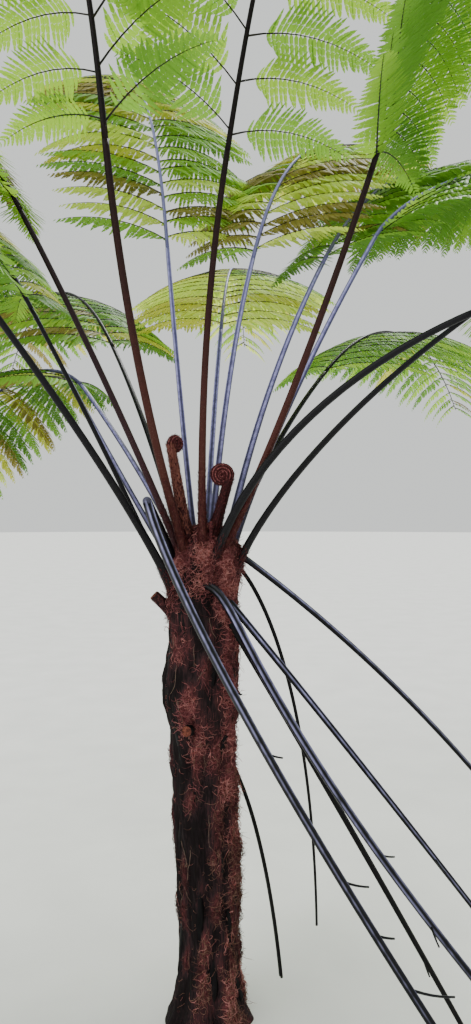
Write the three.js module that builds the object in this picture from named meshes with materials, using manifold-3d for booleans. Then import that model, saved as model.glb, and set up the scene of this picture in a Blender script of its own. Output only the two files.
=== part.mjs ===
// A stout tree fern, rooted in the ground, in millimetres.
// The origin is the middle of the flat cut under the trunk: +Z is up, -Y is towards the viewer.
import * as THREE from 'three';
import { mergeVertices } from 'three/addons/utils/BufferGeometryUtils.js';
import Module from 'manifold-3d';

const wasm = await Module();
wasm.setup();

// Trunk: height, radius and sideways lean of its outline, from the cut to the crown
const trunkProfile = [
  { z: 0, radius: 136, lean: 0 },
  { z: 60, radius: 113, lean: 0 },
  { z: 150, radius: 96, lean: 0 },
  { z: 260, radius: 90, lean: 0 },
  { z: 370, radius: 94, lean: 0 },
  { z: 525, radius: 99, lean: -1 },
  { z: 680, radius: 99, lean: -11 },
  { z: 810, radius: 97, lean: -16 },
  { z: 900, radius: 102, lean: -16 },
  { z: 980, radius: 117, lean: -22 },
  { z: 1060, radius: 120, lean: -22 },
  { z: 1180, radius: 110, lean: -14 },
  { z: 1300, radius: 111, lean: -16 },
  { z: 1400, radius: 108, lean: -8 },
  { z: 1460, radius: 98, lean: -4 },
  { z: 1505, radius: 76, lean: -3 },
  { z: 1535, radius: 44, lean: -3 },
];
const trunkTop = 1548;
const trunkFacets = 26;
const ridgeCount = 7;
const ridgeDepth = 0.035;
const ridgeTwist = 1 / 260;
const strapCount = 12;
const strapDepth = 0.018;
const strapTwist = 1 / 170;

// Clearances: a seat on the trunk, and the air kept between two leaflets of different fronds
const seatGap = 0.4;
const leafletGap = 1.5;
const footSunk = 16;
const splitGap = 0.4;
const sliver = 0.2;

// Fronds: the usual sizes of a grown one
const bladeLength = 1900;
const rachisRoot = 0.9;
const rachisTip = 3;
const stipeSides = 6;
const stipeSteps = 7;
const rachisSides = 5;
const rachisSteps = 7;
const ribShare = 0.97;

// Leaflets: stalked blades set left and right by turns along the rib
const leafletCount = 14;
const firstLeaflet = 40;
const leafletPitch = 131;
const leafletLength = 580;
const leafletWidth = 206;
const leafletSides = 3;
const leafletThickness = 8;
const leafletStalk = 3.2;
const leafletAngle = 62;
const leafletDroop = 44;
const leafletFacing = 0.75;
const leafletStations = [0, 0.19, 0.31, 0.64, 1];
const leafletOutline = [0, 0.02, 1, 0.74, 0];
const leafletTrials = [
  { droop: 0, size: 1 },
  { droop: 22, size: 1 },
  { droop: -24, size: 1 },
  { droop: 0, size: 0.75 },
  { droop: 22, size: 0.7 },
  { droop: -24, size: 0.7 },
  { droop: 8, size: 0.48 },
];

// Living fronds: where each foot sits on the trunk (bearing in degrees from +X, height),
// which way it leans, how steeply it rises, what it bends over the stipe and arches over the blade
const fronds = [
  {
    name: 'front_left', footBearing: 222, footHeight: 1452, bearing: 232, rise: 66, bend: -16, ease: 1,
    arch: 98, curl: 1.9, thick: 13, thin: 9.5, stipe: 1190, size: 1, firstSide: 1,
  },
  {
    name: 'front_right', footBearing: 264, footHeight: 1460, bearing: 310, rise: 92, bend: 17, ease: 1.2,
    arch: 88, curl: 1.9, thick: 12, thin: 8.5, stipe: 1180, size: 1, firstSide: 1,
  },
  {
    name: 'right_tall', footBearing: 306, footHeight: 1455, bearing: 342, rise: 61, bend: -10, ease: 0.5,
    arch: 92, curl: 1.9, thick: 12.5, thin: 9, stipe: 1190, size: 1, firstSide: -1,
  },
  {
    name: 'back_right_tall', footBearing: 84, footHeight: 1465, bearing: 59, rise: 80, bend: 14, ease: 1.6,
    arch: 104, curl: 1.3, thick: 10.5, thin: 8, stipe: 1050, size: 0.92, firstSide: 1,
  },
  {
    name: 'back_right', footBearing: 46, footHeight: 1455, bearing: 42, rise: 74, bend: 17, ease: 1,
    arch: 96, curl: 1.2, thick: 12, thin: 8, stipe: 1120, size: 0.95, firstSide: 1,
  },
  {
    name: 'right_arching', footBearing: 16, footHeight: 1462, bearing: 25, rise: 70, bend: 12, ease: 0.7,
    arch: 74, curl: 0.55, thick: 11, thin: 7.5, stipe: 1200, size: 1, firstSide: 1,
  },
  {
    name: 'back_left_upright', footBearing: 120, footHeight: 1465, bearing: 112, rise: 72, bend: -4, ease: 1,
    arch: 84, curl: 1.5, thick: 9.5, thin: 7.5, stipe: 1100, size: 0.88, firstSide: 1,
  },
  {
    name: 'right_front', footBearing: 282, footHeight: 1392, bearing: 346, rise: 80, bend: 59, ease: 0.66,
    arch: 72, curl: 1.1, thick: 13.5, thin: 10, stipe: 1100, size: 1, firstSide: -1,
  },
  {
    name: 'right_low', footBearing: 336, footHeight: 1368, bearing: 3, rise: 82, bend: 46, ease: 0.36,
    arch: 76, curl: 1.2, thick: 12, thin: 9, stipe: 1120, size: 0.98, firstSide: 1,
  },
  {
    name: 'left', footBearing: 182, footHeight: 1455, bearing: 172, rise: 67, bend: 5, ease: 1,
    arch: 90, curl: 1.5, thick: 11.5, thin: 9, stipe: 1210, size: 1, firstSide: -1,
  },
  {
    name: 'left_front', footBearing: 216, footHeight: 1315, bearing: 197, rise: 72, bend: 19, ease: 0.28,
    arch: 86, curl: 1.2, thick: 13.5, thin: 10, stipe: 1060, size: 1, firstSide: -1,
  },
  {
    name: 'left_back', footBearing: 160, footHeight: 1385, bearing: 151, rise: 54, bend: -4, ease: 1,
    arch: 88, curl: 1.3, thick: 9, thin: 7.5, stipe: 1130, size: 0.95, firstSide: -1,
  },
  {
    name: 'left_thin', footBearing: 188, footHeight: 1318, bearing: 186, rise: 66, bend: 4, ease: 1,
    arch: 80, curl: 1.2, thick: 8.5, thin: 7, stipe: 980, size: 0.86, firstSide: -1,
  },
  {
    name: 'left_arching', footBearing: 146, footHeight: 1438, bearing: 137, rise: 56, bend: 13, ease: 0.6,
    arch: 112, curl: 0.6, thick: 9.5, thin: 7.5, stipe: 820, size: 0.84, firstSide: 1,
  },
  {
    name: 'back', footBearing: 92, footHeight: 1392, bearing: 86, rise: 68, bend: 18, ease: 0.8,
    arch: 92, curl: 1.2, thick: 11, thin: 8, stipe: 1080, size: 0.98, firstSide: -1,
  },
  {
    name: 'back_left', footBearing: 128, footHeight: 1382, bearing: 120, rise: 62, bend: 18, ease: 0.8,
    arch: 88, curl: 1.2, thick: 11, thin: 8, stipe: 1080, size: 0.98, firstSide: 1,
  },
  {
    name: 'back_right_low', footBearing: 62, footHeight: 1385, bearing: 56, rise: 58, bend: 22, ease: 0.8,
    arch: 80, curl: 1.2, thick: 11, thin: 8, stipe: 1060, size: 0.96, firstSide: -1,
  },
];

// Old fronds that have lost their leaflets and hang down, with the stumps of their leaflet stalks
const hangingFronds = [
  {
    name: 'hanging_front', footBearing: 266, footHeight: 1364, bearing: 333, rise: -68, bend: -28, ease: 0.56,
    crest: 84, over: 45, rings: [0, 0.015, 0.035, 0.06, 0.1, 0.17, 0.28, 0.42, 0.6, 0.8, 1],
    length: 1835, thick: 13.5, thin: 8, stumpFrom: 900, stumpSide: 1,
  },
  {
    name: 'hanging_front_low', footBearing: 315, footHeight: 1275, bearing: 341, rise: -57, bend: 2, ease: 1,
    length: 1490, thick: 10.5, thin: 6.5, stumpFrom: 1100, stumpSide: -1,
  },
  {
    name: 'hanging_right', footBearing: 298, footHeight: 1351, bearing: 352, rise: -49, bend: 3, ease: 0.5,
    length: 1725, thick: 11.5, thin: 6, stumpFrom: 1000, stumpSide: -1,
  },
  {
    name: 'hanging_right_back', footBearing: 357, footHeight: 1465, bearing: 2, rise: -36, bend: 25, ease: 1,
    length: 1965, thick: 10, thin: 5.5, stumpFrom: 1050, stumpSide: 1,
  },
  {
    name: 'hanging_low', footBearing: 350, footHeight: 815, bearing: 20, rise: -36, bend: 48, ease: 0.2,
    length: 740, thick: 10, thin: 7, stumpFrom: 900, stumpSide: 1,
  },
  {
    name: 'hanging_thin', footBearing: 34, footHeight: 1432, bearing: 20, rise: 45, bend: 134, ease: 0.11,
    length: 1290, thick: 7, thin: 4, stumpFrom: 1400, stumpSide: 1,
  },
];
const foldedBase = {
  name: 'folded_stalk', footBearing: 197, footHeight: 1405, bearing: 242, rise: 54, bend: 4, ease: 1,
  length: 262, thick: 15, thin: 13.5,
};
const foldedFall = {
  name: 'folded_fall', bearing: 318, rise: -86, bend: -45, ease: 0.19,
  length: 2160, thick: 13.5, thin: 7, stumpSide: 1,
  stumps: [[600, 30], [780, 48], [1116, 74], [1244, 52], [1365, 118], [1590, 90], [1790, 110], [1970, 80]],
};
const kneeRoom = 1.12;
const stumpPitch = 205;
const stumpRadius = 3.5;
const stumpLength = 62;
const stumpGrowth = 1.16;
const stumpAngle = 48;
const groundClearance = 4;

// Young fronds still rolled up: a scaly stalk with a coil on it
const croziers = [
  {
    name: 'crozier_left', footBearing: 214, footRadius: 74, footHeight: 1500,
    bearing: 214, rise: 79, length: 290, thick: 18, thin: 13, coil: 17, coilTube: 13, coilTurn: 50,
  },
  {
    name: 'crozier_right', footBearing: 290, footRadius: 60, footHeight: 1510,
    bearing: 348, rise: 74, length: 188, thick: 16.5, thin: 14.5, coil: 24, coilTube: 14, coilTurn: 10,
  },
];
const bud = {
  name: 'crozier_bud', footBearing: 281, footRadius: 80, footHeight: 1474,
  bearing: 281, rise: 84, length: 66, thick: 7, thin: 6, ball: 10.5, squash: 1.3,
};
const coilFacets = 7;
const coilSteps = 11;
const hubSize = 0.62;

// Sawn stubs of old fronds: one on the left, one facing the viewer
const stubs = [
  { name: 'stub_left', footBearing: 192, footHeight: 1268, bearing: 190, rise: 44, length: 80, thick: 19, thin: 16 },
  { name: 'stub_front', footBearing: 254, footHeight: 928, bearing: 252, rise: 6, length: 48, thick: 18, thin: 16 },
];

const trunkFinish = { color: '#2a1a1a', roughness: 0.9, metalness: 0 };
const redFinish = { color: '#4a201c', roughness: 0.5, metalness: 0 };
const blackFinish = { color: '#16131a', roughness: 0.35, metalness: 0 };
const crozierFinish = { color: '#5a1f1d', roughness: 0.8, metalness: 0 };
const stubFinish = { color: '#8a3b2c', roughness: 0.9, metalness: 0 };
const leafFinish = { color: '#7cae2c', roughness: 0.6, metalness: 0 };
const deadFinish = { color: '#141218', roughness: 0.4, metalness: 0 };

const radians = THREE.MathUtils.degToRad;

const heading = (bearing, elevation) => new THREE.Vector3(
  Math.cos(radians(elevation)) * Math.cos(radians(bearing)),
  Math.cos(radians(elevation)) * Math.sin(radians(bearing)),
  Math.sin(radians(elevation)),
);

// Turns a three.js shape into a solid: seams are merged and flat slivers at poles left out
function solidOf(geometry) {
  geometry.deleteAttribute('normal');
  geometry.deleteAttribute('uv');
  const merged = mergeVertices(geometry, 1e-3);
  const corners = merged.index.array;
  const kept = [];
  for (let i = 0; i < corners.length; i += 3) {
    const [a, b, c] = [corners[i], corners[i + 1], corners[i + 2]];
    if (a !== b && b !== c && c !== a) kept.push(a, b, c);
  }
  const build = (order) => new wasm.Manifold(new wasm.Mesh({
    numProp: 3,
    vertProperties: new Float32Array(merged.attributes.position.array),
    triVerts: new Uint32Array(order),
  }));
  const solid = build(kept);
  return solid.volume() > 0 ? solid : build(kept.reverse());
}

// Trunk outline at a height, by straight steps between the named rings
function trunkAt(z) {
  const last = trunkProfile.length - 1;
  if (z >= trunkProfile[last].z) return trunkProfile[last];
  const above = Math.max(1, trunkProfile.findIndex((ring) => ring.z > z));
  const [low, high] = [trunkProfile[above - 1], trunkProfile[above]];
  const share = (z - low.z) / (high.z - low.z);
  return {
    radius: THREE.MathUtils.lerp(low.radius, high.radius, share),
    lean: THREE.MathUtils.lerp(low.lean, high.lean, share),
  };
}

// The trunk is turned from its outline, then fluted by the bases of fallen fronds and leaned
function trunkSolid(grow) {
  const outline = [new THREE.Vector2(0, 0)];
  for (const ring of trunkProfile) {
    outline.push(new THREE.Vector2(ring.radius + grow, ring.z > trunkProfile[13].z ? ring.z + grow : ring.z));
  }
  outline.push(new THREE.Vector2(0, trunkTop + grow));
  const geometry = new THREE.LatheGeometry(outline, trunkFacets).rotateX(Math.PI / 2);
  const place = geometry.attributes.position;
  for (let i = 0; i < place.count; i++) {
    const [x, y, z] = [place.getX(i), place.getY(i), place.getZ(i)];
    const angle = Math.atan2(y, x);
    const flute = 1 + ridgeDepth * Math.cos(ridgeCount * angle + z * ridgeTwist)
      + strapDepth * Math.cos(strapCount * angle - z * strapTwist);
    place.setXYZ(i, x * flute + trunkAt(z).lean, y * flute, z);
  }
  return solidOf(geometry);
}

// A stem path: it starts at a point and loses elevation along the way, in steps
function stemPath(start, bearing, elevationAt, length) {
  const pieces = 48;
  const points = [start.clone()];
  for (let i = 0; i < pieces; i++) {
    const elevation = elevationAt((i + 0.5) / pieces);
    points.push(points[i].clone().addScaledVector(heading(bearing, elevation), length / pieces));
  }
  const across = heading(bearing + 90, 0);
  return (t) => {
    const place = THREE.MathUtils.clamp(t, 0, 1) * pieces;
    const step = Math.min(Math.floor(place), pieces - 1);
    const before = points[Math.max(step - 1, 0)];
    const after = points[Math.min(step + 2, pieces)];
    return {
      point: points[step].clone().lerp(points[step + 1], place - step),
      along: after.clone().sub(before).normalize(),
      across,
    };
  };
}

// Sweeps a rounded or four-sided section along a path, as wide and as thick as asked at each place
function sweep(path, sides, stations, halfWidth, halfThickness, pointed) {
  const steps = stations.length - 1;
  const geometry = new THREE.CylinderGeometry(pointed ? 0 : 1, 1, 1, sides, steps);
  const place = geometry.attributes.position;
  for (let i = 0; i < place.count; i++) {
    const level = Math.round((place.getY(i) + 0.5) * steps);
    const t = stations[level];
    const reach = Math.hypot(place.getX(i), place.getZ(i)) || 1;
    const hub = reach === 1 && !place.getX(i) && !place.getZ(i);
    const [x, z] = hub ? [0, 0] : [place.getX(i) / reach, place.getZ(i) / reach];
    const { point, along, across } = path(t);
    const normal = across.clone().cross(along).normalize();
    const spot = point.clone()
      .addScaledVector(across, x * halfWidth(t, level))
      .addScaledVector(normal, z * halfThickness(t, level));
    place.setXYZ(i, spot.x, spot.y, spot.z);
  }
  return solidOf(geometry);
}

// The same path drawn straight between its stations, as a faceted tube follows it
function chorded(path, steps) {
  return (t) => {
    const place = THREE.MathUtils.clamp(t, 0, 1) * steps;
    const step = Math.min(Math.floor(place), steps - 1);
    const point = path(step / steps).point.lerp(path((step + 1) / steps).point, place - step);
    return { ...path(t), point };
  };
}

const evenStations = (steps) => Array.from({ length: steps + 1 }, (_, i) => i / steps);

function tube(path, sides, steps, thick, thin) {
  const radius = (t) => THREE.MathUtils.lerp(thick, thin, t);
  return sweep(path, sides, evenStations(steps), radius, radius, false);
}

// A stem stands on the trunk where its foot is, and the trunk is cut away from it
function footOf({ footBearing, footHeight, footRadius }) {
  const ring = trunkAt(footHeight);
  const radius = footRadius ?? ring.radius - footSunk;
  return heading(footBearing, 0).multiplyScalar(radius).add(new THREE.Vector3(ring.lean, 0, footHeight));
}

const trunk = trunkSolid(0);
const trunkCutter = trunkSolid(seatGap);

function seated(solid) {
  const pieces = solid.subtract(trunkCutter).decompose();
  return pieces.reduce((largest, piece) => (piece.volume() > largest.volume() ? piece : largest));
}

// Everything already in place, which new leaflets keep clear of
const placed = [];

function boxesMeet(a, b) {
  return [0, 1, 2].every((k) => a.min[k] - leafletGap < b.max[k] && b.min[k] - leafletGap < a.max[k]);
}

function place(solid, owner) {
  placed.push({ solid, owner, box: solid.boundingBox() });
}

function isFree(solid, owner) {
  const box = solid.boundingBox();
  return placed.every((other) => other.owner === owner || !boxesMeet(box, other.box)
    || solid.minGap(other.solid, leafletGap * 2) > leafletGap);
}

const plant = new THREE.Group();

function addMesh(name, solid, finish) {
  const { vertProperties, triVerts } = solid.getMesh();
  const geometry = new THREE.BufferGeometry();
  geometry.setAttribute('position', new THREE.BufferAttribute(vertProperties, 3));
  geometry.setIndex(new THREE.BufferAttribute(triVerts, 1));
  const mesh = new THREE.Mesh(geometry, new THREE.MeshStandardMaterial(finish));
  mesh.name = name;
  plant.add(mesh);
}

function addStem(name, solid, finish) {
  addMesh(name, solid, finish);
  place(solid, name);
}

// A leaflet leaves the rib sideways, droops along its length and faces out from the trunk, untwisted
function leaflet(frond, rib, side, trial, reach) {
  const start = rib.point;
  const sideways = rib.across.clone().multiplyScalar(side);
  const angle = radians(leafletAngle);
  const leave = rib.along.clone().multiplyScalar(Math.cos(angle)).addScaledVector(sideways, Math.sin(angle));
  const bearing = THREE.MathUtils.radToDeg(Math.atan2(leave.y, leave.x));
  const elevation = THREE.MathUtils.radToDeg(Math.asin(leave.z));
  const droop = leafletDroop + trial.droop;
  const length = reach * trial.size;
  const spine = stemPath(start, bearing, (t) => elevation - droop * t, length);
  const outward = heading(frond.bearing, 0).multiplyScalar(leafletFacing)
    .addScaledVector(rib.along, 1 - leafletFacing);
  const middle = spine(0.5).along;
  const across = outward.addScaledVector(middle, -outward.dot(middle)).normalize();
  const path = (t) => ({ ...spine(t), across });
  const width = Math.min(leafletWidth, length * 0.4) / 2;
  return sweep(
    path, leafletSides, leafletStations,
    (t, level) => Math.max(width * leafletOutline[level], level < 4 ? leafletStalk : 0),
    (t, level) => (level < 2 ? leafletStalk : leafletThickness / 2),
    true,
  );
}

// Leaflets are longest a third of the way up the blade and shorten to its tip
function leafletReach(share) {
  const base = 0.78 + 0.22 * Math.min(share / 0.3, 1);
  const fall = Math.max(0, (share - 0.3) / 0.7);
  return leafletLength * base * (1 - 0.82 * fall ** 1.6);
}

function growFrond(frond, stemFinish) {
  const blade = bladeLength * frond.size;
  const total = frond.stipe + blade;
  const whole = stemPath(footOf(frond), frond.bearing, (t) => {
    const s = t * total;
    const stem = frond.rise - frond.bend * Math.min(s / frond.stipe, 1) ** frond.ease;
    return stem - frond.arch * (Math.max(0, s - frond.stipe) / blade) ** frond.curl;
  }, total);
  const section = (from, to) => (t) => whole((from + (to - from) * t) / total);
  const stipe = tube(section(0, frond.stipe), stipeSides, stipeSteps, frond.thick, frond.thin);
  addStem(`stipe_${frond.name}`, seated(stipe), stemFinish);
  const ribEnd = blade * ribShare;
  const ribPath = chorded(section(frond.stipe + splitGap, frond.stipe + ribEnd), rachisSteps);
  const rib = tube(ribPath, rachisSides, rachisSteps, frond.thin * rachisRoot, rachisTip);
  place(rib, frond.name);
  return { ...frond, blade, ribEnd, ribPath, rib };
}

function growBlade(frond) {
  const parts = [frond.rib];
  for (let i = 0; i < leafletCount; i++) {
    const s = (firstLeaflet + i * leafletPitch) * frond.size;
    const share = s / frond.blade;
    const side = i % 2 ? -frond.firstSide : frond.firstSide;
    const rib = frond.ribPath(s / frond.ribEnd);
    const reach = leafletReach(share) * frond.size;
    for (const trial of leafletTrials) {
      const solid = leaflet(frond, rib, side, trial, reach);
      if (isFree(solid, frond.name)) {
        parts.push(solid);
        place(solid, frond.name);
        break;
      }
    }
  }
  addMesh(`blade_${frond.name}`, wasm.Manifold.union(parts).simplify(sliver), leafFinish);
}

// An old stem sinks along its length; one with a crest first arches up over its foot
function hangingPath(stem, start) {
  const { rise, bend, ease, length, crest = 0, over = 1 } = stem;
  const elevationAt = (t) => rise - bend * t ** ease + crest * Math.exp(-t * length / over);
  return stemPath(start, stem.bearing, elevationAt, length);
}

// Stumps of leaflet stalks stick out along an old rib, by turns where the stem doesn't list its own
function stumpPlaces(stem) {
  const { stumpFrom: first, stumpSide: side, stumps } = stem;
  if (stumps) return stumps.map(([s, length]) => ({ s, length, side }));
  const count = Math.max(0, Math.ceil((stem.length - stumpPitch / 2 - first) / stumpPitch));
  return Array.from({ length: count }, (_, i) => (
    { s: first + i * stumpPitch, length: stumpLength * stumpGrowth ** i, side: i % 2 ? -side : side }));
}

function withStumps(stem, path) {
  const radius = (t) => THREE.MathUtils.lerp(stem.thick, stem.thin, t);
  const rings = stem.rings ?? evenStations(rachisSteps + 2);
  const parts = [sweep(path, stipeSides, rings, radius, radius, false)];
  for (const { s, length, side } of stumpPlaces(stem)) {
    const at = path(s / stem.length);
    const leave = at.along.clone().multiplyScalar(Math.cos(radians(stumpAngle)))
      .addScaledVector(at.across, side * Math.sin(radians(stumpAngle)));
    const bearing = THREE.MathUtils.radToDeg(Math.atan2(leave.y, leave.x));
    const elevation = THREE.MathUtils.radToDeg(Math.asin(leave.z));
    const spine = stemPath(at.point, bearing, (t) => elevation + 20 * t, length);
    parts.push(tube(spine, 4, 2, stumpRadius, stumpRadius * 0.7));
  }
  return wasm.Manifold.union(parts).trimByPlane([0, 0, 1], groundClearance);
}

addStem('trunk', trunk, trunkFinish);

for (const stub of stubs) {
  const path = stemPath(footOf(stub), stub.bearing, () => stub.rise, stub.length);
  addStem(stub.name, seated(tube(path, 9, 2, stub.thick, stub.thin)), stubFinish);
}

for (const young of croziers) {
  const path = stemPath(footOf(young), young.bearing, () => young.rise, young.length);
  const end = path(1);
  const coil = new THREE.TorusGeometry(young.coil, young.coilTube, coilFacets, coilSteps)
    .rotateX(Math.PI / 2)
    .rotateZ(radians(young.coilTurn));
  const inward = heading(young.bearing + 180, 0).multiplyScalar(young.coil);
  const centre = end.point.clone().add(inward);
  coil.translate(centre.x, centre.y, centre.z);
  const hub = new THREE.SphereGeometry(young.coil * hubSize, 10, 6).translate(centre.x, centre.y, centre.z);
  const stalk = tube(path, stipeSides, 4, young.thick, young.thin);
  const whole = wasm.Manifold.union([stalk, solidOf(coil), solidOf(hub)]);
  addStem(young.name, seated(whole), crozierFinish);
}

const budPath = stemPath(footOf(bud), bud.bearing, () => bud.rise, bud.length);
const budTop = budPath(1).point;
const ball = new THREE.SphereGeometry(bud.ball, 10, 7).scale(1, 1, bud.squash);
ball.translate(budTop.x, budTop.y, budTop.z);
addStem(bud.name, seated(tube(budPath, stipeSides, 1, bud.thick, bud.thin).add(solidOf(ball))), crozierFinish);

const reddish = ['front_left', 'front_right', 'right_tall'];
const grown = fronds.map((frond) => growFrond(frond, reddish.includes(frond.name) ? redFinish : blackFinish));

const foldedPath = hangingPath(foldedBase, footOf(foldedBase));
const folded = tube(foldedPath, stipeSides, 3, foldedBase.thick, foldedBase.thin);
addStem(foldedBase.name, seated(folded), deadFinish);
const knee = foldedPath(1);
const fallStart = knee.point.clone().addScaledVector(heading(foldedFall.bearing, foldedFall.rise), 2);
const kneeCutter = tube(foldedPath, stipeSides, 3, foldedBase.thick + seatGap, foldedBase.thin + seatGap)
  .add(solidOf(new THREE.SphereGeometry(foldedBase.thin * kneeRoom, 10, 6)
    .translate(knee.point.x, knee.point.y, knee.point.z)));
const fall = withStumps(foldedFall, hangingPath(foldedFall, fallStart));
addStem(foldedFall.name, fall.subtract(kneeCutter), deadFinish);

for (const stem of hangingFronds) {
  const path = hangingPath(stem, footOf(stem));
  addStem(`stalk_${stem.name}`, seated(withStumps(stem, path)), deadFinish);
}

for (const frond of grown) growBlade(frond);

export default plant;
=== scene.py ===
# A stout tree fern in a pale studio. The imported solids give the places, and the finer growth is made here
# by the same rule that grew them. Metres, +Z up, -Y towards the viewer, the cut of the trunk at the origin.
import math

import bmesh
import bpy
import numpy as np
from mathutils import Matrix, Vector


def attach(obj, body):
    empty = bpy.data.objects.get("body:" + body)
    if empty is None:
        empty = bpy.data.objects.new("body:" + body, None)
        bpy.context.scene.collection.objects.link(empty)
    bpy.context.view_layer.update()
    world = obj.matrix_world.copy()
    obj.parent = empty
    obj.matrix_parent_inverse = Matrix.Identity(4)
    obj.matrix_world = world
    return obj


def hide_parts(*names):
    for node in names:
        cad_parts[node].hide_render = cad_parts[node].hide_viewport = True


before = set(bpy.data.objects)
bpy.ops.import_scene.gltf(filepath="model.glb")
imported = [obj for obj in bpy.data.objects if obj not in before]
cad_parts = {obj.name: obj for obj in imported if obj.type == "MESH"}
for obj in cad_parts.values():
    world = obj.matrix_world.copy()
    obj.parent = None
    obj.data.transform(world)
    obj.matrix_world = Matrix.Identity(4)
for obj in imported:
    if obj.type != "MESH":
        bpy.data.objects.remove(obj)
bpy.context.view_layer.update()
rng = np.random.default_rng(41)
mm = 0.001


# Colours and nodes

def linear(code):
    parts = [int(code[i:i + 2], 16) / 255 for i in (1, 3, 5)]
    return tuple(p / 12.92 if p <= 0.04045 else ((p + 0.055) / 1.055) ** 2.4 for p in parts) + (1.0,)


# Adds a node: names in lower case are its settings, numbers and capitals its sockets. A node or a node's socket
# is linked there, and anything else is the value
def addNode(tree, kind, settings):
    node = tree.nodes.new("ShaderNode" + kind)
    for key, value in settings.items():
        if key == "stops":
            ramp = node.color_ramp
            while len(ramp.elements) < len(value):
                ramp.elements.new(0.5)
            for element, (place, colour) in zip(ramp.elements, value):
                element.position, element.color = place, linear(colour)
        elif isinstance(key, str) and key[0].islower():
            setattr(node, key, value)
        elif isinstance(value, bpy.types.Node):
            tree.links.new(value.outputs[0], node.inputs[key])
        elif isinstance(value, bpy.types.NodeSocket):
            tree.links.new(value, node.inputs[key])
        else:
            node.inputs[key].default_value = value
    return node


def newObject(name, data):
    thing = bpy.data.objects.new(name, data)
    bpy.context.scene.collection.objects.link(thing)
    return thing


def newMaterial(name):
    material = bpy.data.materials.new(name)
    material.use_nodes = True
    material.node_tree.nodes.clear()
    return material, material.node_tree


# Patterns on Object coordinates, sized in metres of the real thing: a stretch makes them long up the stem
def placed(tree, stretch=(1, 1, 1)):
    coordinates = addNode(tree, "TexCoord", {})
    return addNode(tree, "Mapping", {"Vector": coordinates.outputs["Object"], "Scale": stretch})


# Paths, written again from the part's source

def heading(bearing, elevation):
    b, e = np.broadcast_arrays(np.radians(bearing), np.radians(elevation))
    return np.stack([np.cos(e) * np.cos(b), np.cos(e) * np.sin(b), np.sin(e)], axis=-1)


def unit(vectors):
    return vectors / np.linalg.norm(vectors, axis=-1, keepdims=True)


def stemPath(start, bearing, elevationAt, length, parts=48):
    turns = elevationAt((np.arange(parts) + 0.5) / parts)
    steps = heading(bearing, turns) * (length / parts)
    points = np.vstack([start, start + np.cumsum(steps, axis=0)])

    def at(t):
        place = np.clip(np.asarray(t, float), 0, 1) * parts
        step = np.minimum(np.floor(place).astype(int), parts - 1)
        share = (place - step)[..., None]
        point = points[step] * (1 - share) + points[step + 1] * share
        along = points[np.minimum(step + 2, parts)] - points[np.maximum(step - 1, 0)]
        return point, unit(along)
    return at


def straightPath(stem):
    return stemPath(footOf(stem), stem["bearing"], lambda t: stem["rise"] + 0 * t, stem["length"] * mm)


# A stem that leaves a point in a direction and rises by some degrees along its length
def sidePath(point, leave, rise, length):
    bearing = math.degrees(math.atan2(leave[1], leave[0]))
    elevation = math.degrees(math.asin(leave[2]))
    return stemPath(point, bearing, lambda t: elevation + rise * t, length)


def chorded(path, steps):
    def at(t):
        place = np.clip(np.asarray(t, float), 0, 1) * steps
        step = np.minimum(np.floor(place).astype(int), steps - 1)
        share = (place - step)[..., None]
        point = path(step / steps)[0] * (1 - share) + path((step + 1) / steps)[0] * share
        return point, path(t)[1]
    return at


# A path through points at the places t, that looks this far ahead and back for its direction
def linePath(points, t, look):
    def place(s):
        return np.stack([np.interp(s, t, points[:, k]) for k in range(3)], axis=-1)
    return lambda s: (place(s), unit(place(np.minimum(s + look, 1)) - place(np.maximum(s - look, 0))))


def tapered(thick, thin):   # millimetres
    return lambda t: (thick + (thin - thick) * t) * mm


# Meshes

# Places on a tube's skin, and the directions along it and out of it: across is the section's side direction
def onTube(path, across, radius, angle, t):
    point, along = path(t)
    normal = unit(np.cross(np.broadcast_to(across, along.shape), along))
    out = np.cos(angle)[:, None] * np.cross(along, normal) + np.sin(angle)[:, None] * normal
    return point + radius[:, None] * out, along, out


# Rolls a grid into a tube round a path: shape dents the section, and the last function gives how much wax bloom and
# painted highlight lie on the skin, kept as a mesh attribute
def addTube(bm, path, across, radiusAt, sides, steps, shape=None, span=(0, 1), wax=None):
    layer = bm.verts.layers.float.get("wax") or bm.verts.layers.float.new("wax")
    made = bmesh.ops.create_grid(bm, x_segments=sides, y_segments=steps, size=0.5)["verts"]
    u = np.array([v.co.x for v in made]) + 0.5
    t = span[0] + (np.array([v.co.y for v in made]) + 0.5) * (span[1] - span[0])
    angle = 2 * math.pi * u
    radius = radiusAt(t) * (1 if shape is None else shape(angle, t))
    bloom = np.zeros(len(made)) if wax is None else wax(angle, t)
    for vert, co, amount in zip(made, onTube(path, across, radius, angle, t)[0], bloom):
        vert.co = co
        vert[layer] = amount
    bmesh.ops.remove_doubles(bm, verts=[v for v, a in zip(made, u) if a < 1e-4 or a > 1 - 1e-4], dist=1e-6)
    made = [v for v in made if v.is_valid]
    rims = [e for v in made for e in v.link_edges if e.is_boundary]
    bmesh.ops.holes_fill(bm, edges=list(dict.fromkeys(rims)), sides=0)


def addObject(name, mesh, material, nodes=(), smooth=True):
    mesh.materials.append(material)
    mesh.shade_smooth() if smooth else mesh.shade_flat()
    piece = newObject(name, mesh)
    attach(piece, "root")
    if nodes:
        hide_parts(*nodes)
    return piece


def fromBmesh(name, bm, material, nodes=(), smooth=True):
    bmesh.ops.recalc_face_normals(bm, faces=bm.faces)
    mesh = bpy.data.meshes.new(name)
    bm.to_mesh(mesh)
    bm.free()
    return addObject(name, mesh, material, nodes, smooth)


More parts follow.
